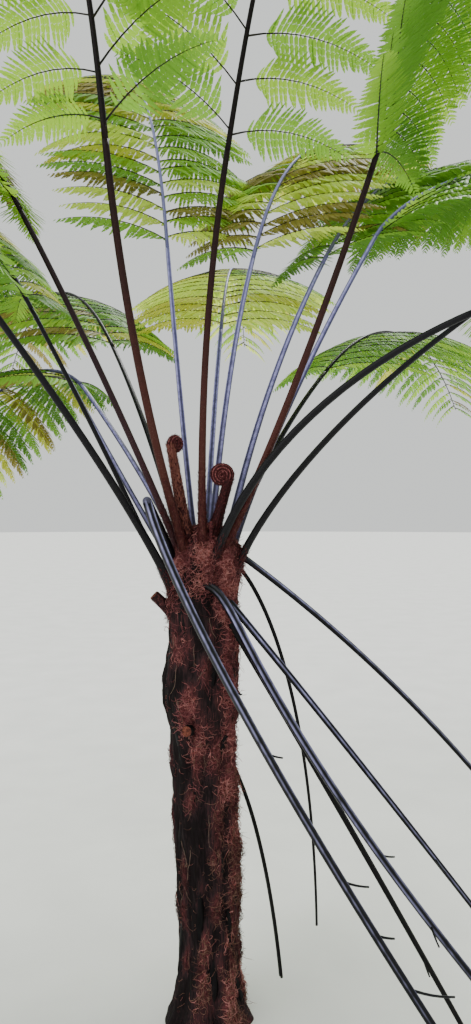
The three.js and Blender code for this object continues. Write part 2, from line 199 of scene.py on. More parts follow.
# Many small leaves or scales joined into one mesh: each block of faces counts from the start of its own corners
def fromArrays(name, corners, faces, material, nodes=()):
    starts = np.cumsum([0] + [len(c) for c in corners[:-1]])
    mesh = bpy.data.meshes.new(name)
    mesh.from_pydata(np.concatenate(corners), [], np.concatenate([f + s for f, s in zip(faces, starts)]))
    return addObject(name, mesh, material, nodes, smooth=False)


# Thin stems by the hundred, joined: paths is (count, points, 3), radii (count, points), and each ends in a point
def fromStems(name, paths, radii, sides, material):
    count, rings = len(paths), paths.shape[1] - 1
    along = unit(np.gradient(paths, axis=1))[:, :-1]
    side = unit(np.cross(along, np.array([0.31, 0.22, 0.93])))   # a direction that no stem runs along
    normal = np.cross(along, side)
    angles = np.arange(sides) * 2 * math.pi / sides
    ring = np.cos(angles)[:, None] * side[:, :, None] + np.sin(angles)[:, None] * normal[:, :, None]
    skin = paths[:, :-1, None] + ring * radii[:, :-1, None, None]
    corners = np.concatenate([skin.reshape(count, -1, 3), paths[:, -1:]], axis=1)
    start = np.arange(count)[:, None, None] * (rings * sides + 1)
    level = np.arange(rings)[:, None] * sides
    here = start + level + np.arange(sides)
    after = start + level + (np.arange(sides) + 1) % sides
    tip = np.broadcast_to(start[:, 0] + rings * sides, (count, sides))
    quads = np.stack([here[:, :-1], after[:, :-1], after[:, 1:], here[:, 1:]], axis=-1)
    tips = np.stack([here[:, -1], after[:, -1], tip], axis=-1)
    faces = quads.reshape(-1, 4).tolist() + tips.reshape(-1, 3).tolist() + here[:, 0, ::-1].tolist()
    mesh = bpy.data.meshes.new(name)
    mesh.from_pydata(corners.reshape(-1, 3), [], faces)
    return addObject(name, mesh, material)


# A matt finish that is a little uneven in tone: scale is its patches in a metre
def mattSkin(name, stops, scale, rough, shine):
    material, tree = newMaterial(name)
    grain = addNode(tree, "TexNoise", {"Vector": placed(tree), "Scale": scale, "Detail": 3.0})
    tone = addNode(tree, "ValToRGB", {0: grain, "stops": stops})
    shader = addNode(tree, "BsdfPrincipled", {"Base Color": tone, "Roughness": rough, "Specular IOR Level": shine})
    addNode(tree, "OutputMaterial", {0: shader})
    return material


# Camera, floor and lights

studio = {
    "camera": (0.086, -2.40, 1.58), "lens": 27.03, "sensor": 36, "clip": (0.05, 200),
    "floorRadius": 60, "floorSides": 96, "floorDrop": 0.001, "floorTones": [(0.3, "#d2d3ce"), (0.7, "#dadbd6")],
    "sky": "#f3f6f4", "skyStrength": 1.0,
    "lamps": [   # name, strength, and its width and turns in degrees
        ("sun through the crown", 3.4, 20, (-34, 16, 0)),
        ("soft light from the front", 1.3, 50, (52, 0, -38)),
    ],
}


def buildStudio():
    cam = bpy.data.cameras.new("camera")
    cam.lens, cam.sensor_width, cam.sensor_fit = studio["lens"], studio["sensor"], "AUTO"
    cam.clip_start, cam.clip_end = studio["clip"]
    eye = newObject("camera", cam)
    eye.location = studio["camera"]
    eye.rotation_euler = (math.radians(90), 0, 0)
    bpy.context.scene.camera = eye

    bm = bmesh.new()
    bmesh.ops.create_circle(bm, cap_ends=True, radius=studio["floorRadius"], segments=studio["floorSides"])
    mesh = bpy.data.meshes.new("floor")
    bm.to_mesh(mesh)
    bm.free()
    mesh.materials.append(mattSkin("matt painted floor", studio["floorTones"], 3.0, 0.85, 0.5))
    floor = newObject("floor", mesh)
    floor.location.z = -studio["floorDrop"]

    world = bpy.data.worlds.new("studio")
    world.use_nodes = True
    background = world.node_tree.nodes["Background"]
    background.inputs["Color"].default_value = linear(studio["sky"])
    background.inputs["Strength"].default_value = studio["skyStrength"]
    bpy.context.scene.world = world

    for name, power, angle, turns in studio["lamps"]:
        lamp = bpy.data.lights.new(name, "SUN")
        lamp.energy, lamp.angle = power, math.radians(angle)
        newObject(name, lamp).rotation_euler = [math.radians(turn) for turn in turns]


buildStudio()
print("studio ready")


# Materials. A noise's Scale is its repeats in a metre: 260 gives fibres 4 mm apart, 90 root fibre at 11 mm, coarser
# than life, 55 mottling at 18 mm, 210 warts at 5 mm and 160 leaf veins at 6 mm. A MapRange's sockets 1 to 4 are the
# range that it reads and the range that it gives

# How much wax bloom and painted highlight lie on the skin: the mesh's own attribute, rubbed off where the pattern is
# low
def waxAndSheenFilm(tree, pattern, least):
    wax = addNode(tree, "Attribute", {"attribute_name": "wax"})
    worn = addNode(tree, "MapRange", {0: pattern, 1: 0.3, 2: 0.6, 3: least, 4: 1.0})
    return addNode(tree, "Math", {"operation": "MULTIPLY", 0: wax.outputs["Fac"], 1: worn})


# Matted roots on a tree fern's stem, weathered and damp: near black with red-brown fibre showing in patches
def stemMat():
    material, tree = newMaterial("weathered root mat")
    thickness = addNode(tree, "Attribute", {"attribute_name": "mat"})
    fibres = addNode(tree, "TexNoise", {"Vector": placed(tree, (1, 1, 0.15)), "Scale": 260.0, "Detail": 5.0})
    blend = addNode(tree, "Math", {"operation": "MULTIPLY_ADD", 0: fibres, 1: 0.9, 2: thickness.outputs["Fac"]})
    tone = addNode(tree, "ValToRGB", {0: blend, "stops": [
        (0.35, "#150f10"), (0.52, "#291d1f"), (0.7, "#3f2426"), (0.92, "#653637")]})
    bump = addNode(tree, "Bump", {"Height": fibres, "Strength": 0.9, "Distance": 0.003})
    shader = addNode(tree, "BsdfPrincipled", {
        "Base Color": tone, "Roughness": 0.88, "Normal": bump, "Specular IOR Level": 0.12})
    addNode(tree, "OutputMaterial", {0: shader})
    return material


# One tone of fine aerial root: dull, fibrous and uneven, drawn a little coarse so that single roots show
def rootTone(name, dark, light):
    return mattSkin(name, [(0.35, dark), (0.65, light)], 90.0, 0.8, 0.15)


# Living frond stalk: hard waxy skin with fine pale warts low down. The stops give its colour by height, and the last
# colour is wax bloom with a painted highlight where the mesh says
def stalkSkin(name, stops, gloss, wartColour, shine, waxAndSheenColour=None):
    material, tree = newMaterial(name)
    coordinates = addNode(tree, "TexCoord", {})
    split = addNode(tree, "SeparateXYZ", {0: coordinates.outputs["Object"]})
    height = addNode(tree, "MapRange", {0: split.outputs[2], 1: 1.3, 2: 3.1})   # metres above the ground
    mottle = addNode(tree, "TexNoise", {"Vector": placed(tree), "Scale": 55.0, "Detail": 4.0})
    shifted = addNode(tree, "Math", {"operation": "MULTIPLY_ADD", 0: mottle, 1: 0.22, 2: height})
    colour = addNode(tree, "ValToRGB", {0: shifted, "stops": stops})
    warts = addNode(tree, "TexVoronoi", {"Vector": placed(tree), "Scale": 210.0})
    spots = addNode(tree, "MapRange", {0: warts, 1: 0.16, 2: 0.26, 3: 1.0, 4: 0.0})
    low = addNode(tree, "MapRange", {0: split.outputs[2], 1: 1.5, 2: 2.1, 3: 0.75, 4: 0.12})
    share = addNode(tree, "Math", {"operation": "MULTIPLY", 0: spots, 1: low})
    # wax bloom and a painted highlight on the ridges, where the mesh's attribute says
    if waxAndSheenColour:
        filmAndSheen = waxAndSheenFilm(tree, mottle, 0.45)
        colour = addNode(tree, "Mix", {"data_type": "RGBA", 0: filmAndSheen, 6: colour, 7: linear(waxAndSheenColour)}).outputs[2]
    mix = addNode(tree, "Mix", {"data_type": "RGBA", 0: share, 6: colour, 7: linear(wartColour)})
    rough = addNode(tree, "MapRange", {0: mottle, 3: gloss - 0.08, 4: gloss + 0.14})
    bump = addNode(tree, "Bump", {"Height": spots, "Strength": 0.5, "Distance": 0.0008})
    shader = addNode(tree, "BsdfPrincipled", {
        "Base Color": mix.outputs[2], "Roughness": rough, "Normal": bump, "Specular IOR Level": shine})
    addNode(tree, "OutputMaterial", {0: shader})
    return material


# Leaf: thin satin blade that glows where the light comes through it, one plain tint for each kind of spray
def leafTint(name, front, glow, through):
    material, tree = newMaterial(name)
    veins = addNode(tree, "TexNoise", {"Vector": placed(tree), "Scale": 160.0, "Detail": 2.0})
    rough = addNode(tree, "MapRange", {0: veins, 3: 0.42, 4: 0.6})
    bump = addNode(tree, "Bump", {"Height": veins, "Strength": 0.35, "Distance": 0.0015})
    face = addNode(tree, "BsdfPrincipled", {
        "Base Color": linear(front), "Roughness": rough, "Normal": bump, "Specular IOR Level": 0.22})
    light = addNode(tree, "BsdfTranslucent", {"Color": linear(glow), "Normal": bump})
    mix = addNode(tree, "MixShader", {0: through, 1: face, 2: light})
    addNode(tree, "OutputMaterial", {0: mix})
    return material


# Skin with one colour range: scaly, dry or cut surfaces. Grain is the pattern's repeat in metres, and the
# last argument gives the colours laid on where the mesh says, wax bloom with a painted highlight, from thin to thick
def skin(name, stops, grain, rough, depth, shine, stretch=(1, 1, 1), bloom=None):
    material, tree = newMaterial(name)
    pattern = addNode(tree, "TexNoise", {"Vector": placed(tree, stretch), "Scale": 1 / grain, "Detail": 5.0})
    colour = addNode(tree, "ValToRGB", {0: pattern, "stops": stops})
    # on a stalk this is wax bloom with a painted highlight, and on a crozier a painted highlight on the ridge crests
    if bloom:
        share = waxAndSheenFilm(tree, pattern, 0.6)
        filmAndSheen = addNode(tree, "ValToRGB", {0: share, "stops": bloom})
        reach = addNode(tree, "MapRange", {0: share, 1: 0.05, 2: 0.4})
        colour = addNode(tree, "Mix", {"data_type": "RGBA", 0: reach, 6: colour, 7: filmAndSheen}).outputs[2]
    wear = addNode(tree, "MapRange", {0: pattern, 3: rough - 0.12, 4: rough + 0.12})
    bump = addNode(tree, "Bump", {"Height": pattern, "Strength": 0.7, "Distance": depth})
    shader = addNode(tree, "BsdfPrincipled", {
        "Base Color": colour, "Roughness": wear, "Normal": bump, "Specular IOR Level": shine})
    addNode(tree, "OutputMaterial", {0: shader})
    return material


upStem = (1, 1, 0.2)   # a stretch along the stem
looks = {   # in skin: colours, grain in metres, roughness, depth of the grain in metres, shine
    "mat": stemMat(),
    "rootDark": rootTone("dark old root", "#351a1b", "#573333"),
    "rootBrown": rootTone("weathered brown root", "#5b3a32", "#8b6759"),
    "rootRed": rootTone("red-brown root", "#683335", "#985a5b"),
    "rootBright": rootTone("fresh red-brown root", "#9a544f", "#c2867f"),
    "rootPale": rootTone("dry pale root", "#654f47", "#8f7869"),
    # dull, hard and nearly black, and a bark that crumbles to brown
    "slab": skin("weathered stalk base", [(0.35, "#060506"), (0.55, "#0d0a0c"), (0.75, "#1d1619")],
                 0.012, 0.6, 0.001, 0.12, upStem),
    "stubBark": skin("rough scaly stub bark", [(0.32, "#140b0d"), (0.52, "#321b1d"), (0.72, "#6b3a3a")],
                     0.009, 0.75, 0.002, 0.12),
    # matt and reddest at the foot when young, smoother and black with age, and blue where wax lies on it: the blue is
    # partly a painted sky reflection, and a painted highlight lies on the ridges
    "red": stalkSkin("young red-brown stalk skin", [
        (0.15, "#4a2420"), (0.42, "#43221d"), (0.62, "#2d1816"), (0.88, "#140f11")], 0.48, "#7d5a50", 0.12),
    "brown": stalkSkin("dull purple-brown stalk skin", [
        (0.15, "#432529"), (0.5, "#2c1c20"), (0.9, "#171114")], 0.48, "#6d5658", 0.12),
    "black": stalkSkin("black stalk skin", [
        (0.1, "#0d0a0c"), (0.4, "#0f0e12"), (0.9, "#15151b")], 0.4, "#37333a", 0.16),
    # its blue stops are partly a painted sky reflection, and the last colour is wax bloom with a painted highlight on
    # the ridges
    "bloom": stalkSkin("black stalk skin with blue wax bloom", [
        (0.1, "#0a090d"), (0.3, "#1b1a2d"), (0.5, "#313052"), (0.95, "#6c6c9d")], 0.4, "#5d5d86", 0.2, "#aeaae6"),
    # a film of wax on shrunken ridges, its pale lavender partly a painted highlight, and a thin dry one that has lost
    # it
    "old": skin("dead black stalk skin, waxy blue with painted highlight", [(0.35, "#060508"), (0.6, "#0a0a10"), (0.8, "#141520")],
                0.02, 0.34, 0.0006, 0.2, (1, 1, 0.12),
                [(0.25, "#1b1a22"), (0.5, "#595870"), (0.75, "#7e7ca6"), (1.0, "#bcb9ef")]),
    "oldThin": skin("dry black stalk skin", [(0.35, "#060506"), (0.6, "#0d0b0c"), (0.8, "#1d1817")],
                    0.012, 0.55, 0.0006, 0.15, upStem),
    # matt scales and hair over a ridged skin, all red-brown, the skin lighter on its ridge crests as a painted
    # highlight
    "scales": skin("dense crozier scales", [(0.35, "#230d0f"), (0.55, "#4c2022"), (0.75, "#7b4243")],
                   0.004, 0.75, 0.0015, 0.15),
    # lighter on the ridge crests where the mesh says: a painted highlight
    "coil": skin("ridged crozier skin", [(0.35, "#200b0d"), (0.6, "#3a1618")], 0.004, 0.75, 0.0012, 0.15,
                 bloom=[(0.25, "#1d0b0c"), (0.6, "#572728"), (1.0, "#ab6666")]),
    "hair": skin("fresh orange-brown hair", [(0.3, "#58302a"), (0.55, "#814d43"), (0.8, "#a06a5c")],
                 0.006, 0.7, 0.001, 0.15, upStem),
    # raw, fibrous and dry, and a hard dark line under the leaf
    "cut": skin("sawn red-brown pith", [(0.35, "#3a1c18"), (0.55, "#6a392e"), (0.75, "#8f5a46")],
                0.005, 0.85, 0.0012, 0.15),
    "rib": skin("dark leaflet rib", [(0.35, "#141315"), (0.65, "#2f2a20")], 0.02, 0.5, 0.0004, 0.2),
    # leaf, by age and light
    "fresh": leafTint("fresh leaf lit from above", "#7cab38", "#b2dc44", 0.5),
    "mid": leafTint("grown leaf", "#6a9a38", "#9bcc44", 0.44),
    "deep": leafTint("shaded grown leaf", "#52802c", "#78a93c", 0.4),
    "lime": leafTint("sunlit young leaf", "#bcd956", "#f0fd74", 0.55),
    "gold": leafTint("yellowing leaf", "#b0b43a", "#dfe25a", 0.5),
    "dry": leafTint("dry bronze leaf", "#7f7734", "#ada150", 0.38),
}


# Trunk: a relief of flutes, old stalk bases and matted roots on the source's outline. Bearings are in degrees

trunk = {
    "profile": [(0, 136, 0), (60, 113, 0), (150, 96, 0), (260, 90, 0), (370, 94, 0), (525, 99, -1), (680, 99, -11),
                (810, 97, -16), (900, 102, -16), (980, 117, -22), (1060, 120, -22), (1180, 110, -14),
                (1300, 111, -16), (1400, 108, -8), (1460, 98, -4), (1505, 76, -3), (1535, 44, -3), (1548, 0, -3)],
    "top": 1.548, "round": 200, "rings": 260,
    "flutes": [(7, 0.035, 0.26), (12, 0.018, -0.17)],   # how many, how deep, metres of height for each radian
    "pile": 8.0, "relief": 3.0, "fibre": 1.0,   # millimetres
    "hollow": -0.4, "level": 0.75, "lumps": 0.55, "folds": 0.35,
    "bareSide": 200, "bareSpread": 1.6, "bareEven": 0.55,   # the bare side is smoother
    "evenFoot": 0.04, "evenTop": (1.55, 0.06),
    "shade": (0.3, 0.1),   # how the mat's thickness becomes the material's
}
mats = {   # where the root mat is thick
    "columns": 0.62, "patches": 0.5, "thickSide": 310, "thick": 0.55, "wornSide": 205, "worn": 0.7,
    "crown": 1.4, "crownFrom": 1.36, "crownOver": 0.08, "least": -1, "most": 1.3,
}
profile = np.array(trunk["profile"], float) * mm


def trunkAt(z):   # the radius there, and how far the stem leans
    return np.interp(z, profile[:, 0], profile[:, 1]), np.interp(z, profile[:, 0], profile[:, 2])


# Uneven ground for the relief: a sum of waves that closes round the stem
def makeWaves(count, roundMost, upMost, seed):
    dice = np.random.default_rng(seed)
    around = dice.integers(1, roundMost, count)
    up = dice.uniform(-upMost, upMost, count)
    phase = dice.uniform(0, 2 * math.pi, count)

    def at(angle, z):
        total = np.zeros(np.broadcast(angle, z).shape)
        for k, m, p in zip(around, up, phase):
            total += np.cos(k * angle + m * z + p)
        return total / math.sqrt(count / 2)
    return at


lumps = makeWaves(26, 11, 60, 3)
folds = makeWaves(34, 34, 110, 4)
fibres = makeWaves(40, 90, 90, 5)
columns = makeWaves(16, 8, 9, 6)
patches = makeWaves(20, 12, 45, 7)


# How much a place round the stem looks towards a bearing, from 0 to 1
def towards(angle, bearing, spread=1):
    return np.clip(spread * np.cos(angle - math.radians(bearing)), 0, 1)


# Upright columns of root mat with bare hollows between, least on the worn left side
def matAt(angle, z):
    side = (mats["thick"] * np.cos(angle - math.radians(mats["thickSide"]))
            - mats["worn"] * towards(angle, mats["wornSide"]))
    crown = mats["crown"] * np.clip((z - mats["crownFrom"]) / mats["crownOver"], 0, 1)
    return np.clip(mats["columns"] * columns(angle, z) + mats["patches"] * patches(angle, z) + side + crown,
                   mats["least"], mats["most"])


def surfaceRadius(angle, z):
    radius, _ = trunkAt(z)
    flute = 1 + sum(deep * np.cos(count * angle + z / over) for count, deep, over in trunk["flutes"])
    top, over = trunk["evenTop"]
    quiet = np.clip(z / trunk["evenFoot"], 0, 1) * np.clip((top - z) / over, 0, 1)
    even = 1 - trunk["bareEven"] * towards(angle, trunk["bareSide"], trunk["bareSpread"])
    relief = (even * trunk["pile"] * (np.maximum(matAt(angle, z), trunk["hollow"]) - trunk["level"])
              + trunk["fibre"] * fibres(angle, z)
              + trunk["relief"] * (trunk["lumps"] * even * lumps(angle, z) + trunk["folds"] * folds(angle, z)))
    return np.maximum(radius * flute + relief * mm * quiet, 0)


def around(radius, angle, z):
    return np.stack([radius * np.cos(angle) + trunkAt(z)[1], radius * np.sin(angle), z], axis=-1)


def buildTrunk():
    bm = bmesh.new()
    made = bmesh.ops.create_grid(bm, x_segments=trunk["round"], y_segments=trunk["rings"], size=0.5)["verts"]
    angle = (np.array([v.co.x for v in made]) + 0.5) * 2 * math.pi
    z = (np.array([v.co.y for v in made]) + 0.5) * trunk["top"]
    for vert, place in zip(made, around(surfaceRadius(angle, z), angle, z)):
        vert.co = place
    bmesh.ops.remove_doubles(bm, verts=bm.verts, dist=1e-6)
    bmesh.ops.holes_fill(bm, edges=[e for e in bm.edges if e.is_boundary], sides=0)
    piece = fromBmesh("trunk_bark", bm, looks["mat"], ["trunk"])
    x, y, z = np.array([v.co for v in piece.data.vertices]).T
    gain, base = trunk["shade"]
    shade = gain * matAt(np.arctan2(y, x - trunkAt(z)[1]), z) + base
    piece.data.attributes.new("mat", "FLOAT", "POINT").data.foreach_set("value", shade.astype(np.float32))


# Old stalk bases pressed into the mat, in the steep spirals that the fronds stood in
slabs = {
    "count": 30, "turn": 137.5, "turnStray": 0.12, "low": 0.13, "span": 1.27, "heightStray": 0.02,
    "length": 0.15, "wide": 0.017, "rise": 0.004, "lean": 0.25, "sink": 0.35, "lowest": 0.01,
    "points": 13, "evened": 7,
}


def buildSlabs():
    bm = bmesh.new()
    t = np.linspace(0, 1, slabs["points"])
    for i in range(slabs["count"]):
        angle = i * math.radians(slabs["turn"]) + rng.normal(0, slabs["turnStray"])
        top = slabs["low"] + slabs["span"] * (i + 0.5) / slabs["count"] + rng.normal(0, slabs["heightStray"])
        length = slabs["length"] * rng.uniform(0.7, 1.3)
        wide = slabs["wide"] * rng.uniform(0.75, 1.2)
        turn = angle + rng.normal(0, slabs["lean"]) * (t - 0.5)
        z = np.maximum(top - length * (1 - t), slabs["lowest"])
        lift = slabs["rise"] * (-0.6 + 1.1 * t ** 2) * rng.uniform(0.5, 1.1)
        near = np.pad(surfaceRadius(turn, z), slabs["evened"] // 2, "edge")
        ground = np.convolve(near, np.full(slabs["evened"], 1 / slabs["evened"]), "valid") - slabs["sink"] * wide
        addTube(bm, linePath(around(ground + lift, turn, z), t, 0.05),
                np.array([-math.sin(angle), math.cos(angle), 0]),
                lambda s: wide * np.clip(np.sin(np.pi * (0.12 + 0.72 * s)), 0.1, 1), 10, 9,
                lambda a, s: 1 - 0.55 * np.abs(np.sin(a)) ** 1.4 + 0.06 * np.cos(5 * a + 9 * s))
    fromBmesh("old_stalk_bases", bm, looks["slab"])


# Fine curly roots: thick piles of them in the mats, few on the bare side, a collar round the living feet and a
# tuft at each foot
roots = {
    "count": 8200, "points": 8, "pitch": 0.0046, "curl": 0.42, "stray": 0.3, "way": 0.9, "pile": 0.009,
    "radius": 0.0009, "ends": (1.1, 0.4),   # real ones are about 1 mm thick, drawn 1.8 mm so that they show
    "keepBase": 0.05, "keepGain": 0.8, "keepLeast": 0.03,
    "thinBelow": 0.15, "thinShare": 0.6,   # on the bare side they are thinner and shorter
    "shaggySide": 350, "shaggy": (0.002, 0.005), "lowest": 0.006, "highest": 1.543, "ground": 0.003,
    "collar": 1100, "collarFrom": 1.36, "collarTo": 1.535, "collarPitch": 0.007, "collarPile": 0.012,
    "collarFlare": 0.008, "looseCurl": 0.45,
    "feet": [(266, 1364), (315, 1275), (298, 1351), (357, 1465), (350, 815), (34, 1432), (197, 1405), (192, 1268),
             (254, 928), (282, 1392), (336, 1368), (216, 1315), (188, 1318)],   # bearing and height
    "perFoot": 70, "footPitch": 0.0045, "footHigh": 0.022, "footWide": 0.24, "footFlare": 0.004,
    "hanging": 14, "hangingRadius": 0.0008, "hangingCurl": 0.03,
    "toneSteps": [-0.05, 1.25], "weathered": 0.72, "weatheredStray": 0.12,
    "tones": [("dark_roots", "rootDark"), ("red_brown_roots", "rootRed"), ("fresh_roots", "rootBright"),
              ("brown_roots", "rootBrown")],
}


# Lets roots wander over the stem's skin from their starts: way is the first direction round from straight down
def wander(z, angle, pitch, curl, lift, flare, way):
    count, steps = len(z), roots["points"]
    bend = rng.normal(0, curl, count)
    places = []
    for k in range(steps):
        t = k / (steps - 1)
        z = np.clip(z, roots["lowest"], roots["highest"])
        raised = lift * (0.6 + 0.4 * np.sin(5 * t + bend * 9)) + flare * t ** 2
        places.append(around(surfaceRadius(angle, z) + raised, angle, z))
        angle = angle + pitch * np.sin(way) / np.maximum(trunkAt(z)[0], 0.03)
        z = z - pitch * np.cos(way)
        way = way + bend + rng.normal(0, roots["stray"], count)
    return np.stack(places, axis=1)


def bell(value, middle, wide):
    return np.exp(-((value - middle) / wide) ** 2)


# How fresh a root looks where it starts: most in patches, round the middle of the front and under the crown
def warmthAt(angle, z):
    return (0.7 * patches(angle + 1, z) + 0.5 * np.cos(angle - math.radians(300))
            + 0.9 * bell(z, 0.95, 0.13) * towards(angle, 280) + 0.5 * (z > 1.33))


def buildRoots():
    tries = roots["count"] * 3
    z = rng.uniform(0.02, 1.5, tries)
    angle = rng.uniform(0, 2 * math.pi, tries)
    thick = matAt(angle, z)
    chance = np.clip(roots["keepBase"] + roots["keepGain"] * thick, roots["keepLeast"], 1)
    keep = np.nonzero(rng.uniform(0, 1, tries) < chance)[0][:roots["count"]]
    z, angle, thick, count = z[keep], angle[keep], np.clip(thick[keep], 0, 1), len(keep)
    bare = np.where(thick < roots["thinBelow"], roots["thinShare"], 1.0)
    shaggy = roots["shaggy"][0] + roots["shaggy"][1] * towards(angle, roots["shaggySide"])
    paths = wander(z, angle, roots["pitch"] * bare * rng.uniform(0.6, 1.6, count), roots["curl"],
                   0.001 + rng.uniform(0, roots["pile"], count) * thick, rng.exponential(shaggy),
                   rng.normal(0, roots["way"], count))
    count = roots["collar"]
    collar = wander(rng.uniform(roots["collarFrom"], roots["collarTo"], count), rng.uniform(0, 2 * math.pi, count),
                    roots["collarPitch"] * rng.uniform(0.6, 1.3, count), roots["looseCurl"],
                    rng.uniform(0, roots["collarPile"], count), rng.exponential(roots["collarFlare"], count),
                    rng.uniform(-math.pi, math.pi, count))
    feet = np.repeat(np.array(roots["feet"], float), roots["perFoot"], axis=0)
    count = len(feet)
    spread = rng.normal(0, 1, (count, 2)) * (roots["footHigh"], roots["footWide"])
    tufts = wander(feet[:, 1] * mm + spread[:, 0], np.radians(feet[:, 0]) + spread[:, 1],
                   roots["footPitch"] * rng.uniform(0.6, 1.4, count), roots["looseCurl"],
                   rng.uniform(0.002, 0.016, count), rng.exponential(roots["footFlare"], count),
                   rng.uniform(-math.pi, math.pi, count))
    paths = np.concatenate([paths, collar, tufts])
    paths[:, :, 2] = np.maximum(paths[:, :, 2], roots["ground"])
    x, y, z = paths[:, 0].T
    warmth = warmthAt(np.arctan2(y, x), z) + rng.normal(0, 0.6, len(paths))
    radii = roots["radius"] * rng.uniform(0.6, 1.4, (len(paths), 1)) * np.linspace(*roots["ends"], roots["points"])
    radii[:len(bare)] *= bare[:, None]
    tones = np.digitize(warmth, roots["toneSteps"])
    worn = z + rng.normal(0, roots["weatheredStray"], len(z)) < roots["weathered"]
    tones[(tones == 1) & worn] = 3   # the lower stem's roots have weathered
    for tone, (name, look) in enumerate(roots["tones"]):
        fromStems(name, paths[tones == tone], radii[tones == tone], 3, looks[look])
    count = roots["hanging"]   # single dry roots that hang down the bare side
    paths = wander(rng.uniform(0.3, 1.3, count), rng.uniform(3.4, 5.4, count), rng.uniform(0.008, 0.016, count),
                   roots["hangingCurl"], rng.uniform(0.001, 0.004, count), rng.uniform(0, 0.008, count),
                   rng.normal(0, 0.15, count))
    fromStems("pale_roots", paths, np.full(paths.shape[:2], roots["hangingRadius"]), 3, looks["rootPale"])


buildTrunk()
buildSlabs()
buildRoots()
print("trunk ready")


# Living fronds: the source's own values, in millimetres and degrees, then the stalk's look, how much the pinnules
# hang, and how far the leaflets turn from the rib's direction to the outside

frondColumns = ("footBearing", "footHeight", "bearing", "rise", "bend", "ease", "arch", "curl", "thick", "thin",
                "stipe", "size", "firstSide", "look", "hang", "facing")
frondRows = {
    "front_left": (222, 1452, 232, 66, -16, 1, 98, 1.9, 13, 9.5, 1190, 1, 1, "red", 0.15, 0.5),
    "front_right": (264, 1460, 310, 92, 17, 1.2, 88, 1.9, 12, 8.5, 1180, 1, 1, "red", 0.1, 0.4),
    "right_tall": (306, 1455, 342, 61, -10, 0.5, 92, 1.9, 12.5, 9, 1190, 1, -1, "red", 0.12, 0.55),
    "back_right_tall": (84, 1465, 59, 80, 14, 1.6, 104, 1.3, 10.5, 8, 1050, 0.92, 1, "bloom", 0.55, 0.75),
    "back_right": (46, 1455, 42, 74, 17, 1, 96, 1.2, 12, 8, 1120, 0.95, 1, "bloom", 0.35, 0.75),
    "right_arching": (16, 1462, 25, 70, 12, 0.7, 74, 0.55, 11, 7.5, 1200, 1, 1, "bloom", 0.3, 0.75),
    "back_left_upright": (120, 1465, 112, 72, -4, 1, 84, 1.5, 9.5, 7.5, 1100, 0.88, 1, "bloom", 0.65, 0.75),
    "right_front": (282, 1392, 346, 80, 59, 0.66, 72, 1.1, 13.5, 10, 1100, 1, -1, "black", 0.4, 0.75),
    "right_low": (336, 1368, 3, 82, 46, 0.36, 76, 1.2, 12, 9, 1120, 0.98, 1, "black", 0.55, 0.75),
    "left": (182, 1455, 172, 67, 5, 1, 90, 1.5, 11.5, 9, 1210, 1, -1, "brown", 0.6, 0.75),
    "left_front": (216, 1315, 197, 72, 19, 0.28, 86, 1.2, 13.5, 10, 1060, 1, -1, "black", 0.4, 0.75),
    "left_back": (160, 1385, 151, 54, -4, 1, 88, 1.3, 9, 7.5, 1130, 0.95, -1, "bloom", 0.65, 0.75),
    "left_thin": (188, 1318, 186, 66, 4, 1, 80, 1.2, 8.5, 7, 980, 0.86, -1, "black", 0.65, 0.75),
    "left_arching": (146, 1438, 137, 56, 13, 0.6, 112, 0.6, 9.5, 7.5, 820, 0.84, 1, "bloom", 0.6, 0.75),
    "back": (92, 1392, 86, 68, 18, 0.8, 92, 1.2, 11, 8, 1080, 0.98, -1, "bloom", 0.6, 0.75),
    "back_left": (128, 1382, 120, 62, 18, 0.8, 88, 1.2, 11, 8, 1080, 0.98, 1, "black", 0.6, 0.75),
    "back_right_low": (62, 1385, 56, 58, 22, 0.8, 80, 1.2, 11, 8, 1060, 0.96, -1, "black", 0.4, 0.75),
}
fronds = {name: dict(zip(frondColumns, row), name=name) for name, row in frondRows.items()}
slots = {"red": "red_stalk", "brown": "black_stalk", "black": "black_stalk", "bloom": "black_stalk"}

grown = {
    "blade": 1.9, "ribShare": 0.97, "ribSteps": 7, "ribRoot": 0.97, "ribTip": 1.6, "lap": 0.004,
    "leaflets": 14, "first": 0.040, "pitch": 0.131, "reach": 0.58, "width": 0.206, "slim": 0.4,
    "angle": 62, "droop": 44,
    # turns and shares of the length that the source tries for a leaflet until it is clear of the rest
    "trials": [(0, 1), (22, 1), (-24, 1), (0, 0.75), (22, 0.7), (-24, 0.7), (8, 0.48)],
    "tipFound": 0.004,   # how near a solid's corner has to be for its leaflet to be there
    "pairs": [(0, 1, 1), (0.012, -1, 0.94), (0.064, 1, 0.95), (0.076, -1, 0.97)],   # shift, side, share of reach
    "small": (0.925, 0.969, 0.012), "smallReach": 0.135, "smallLess": 0.02, "smallDroop": 30,   # towards the tip
    "vein": (0.0034, 0.0026, 0.0007), "veinEnd": 0.98, "veinPoints": 9,
    "most": 180000,   # triangles in one piece
}
airy = ("front_left", "front_right")   # these two have gaps between their leaflets


def acrossOf(stem):
    return heading(stem["bearing"] + 90, 0)


def footOf(stem):
    radius, lean = trunkAt(stem["footHeight"] * mm)
    out = stem.get("footRadius", radius / mm - 16) * mm
    return heading(stem["footBearing"], 0) * out + np.array([lean, 0, stem["footHeight"] * mm])


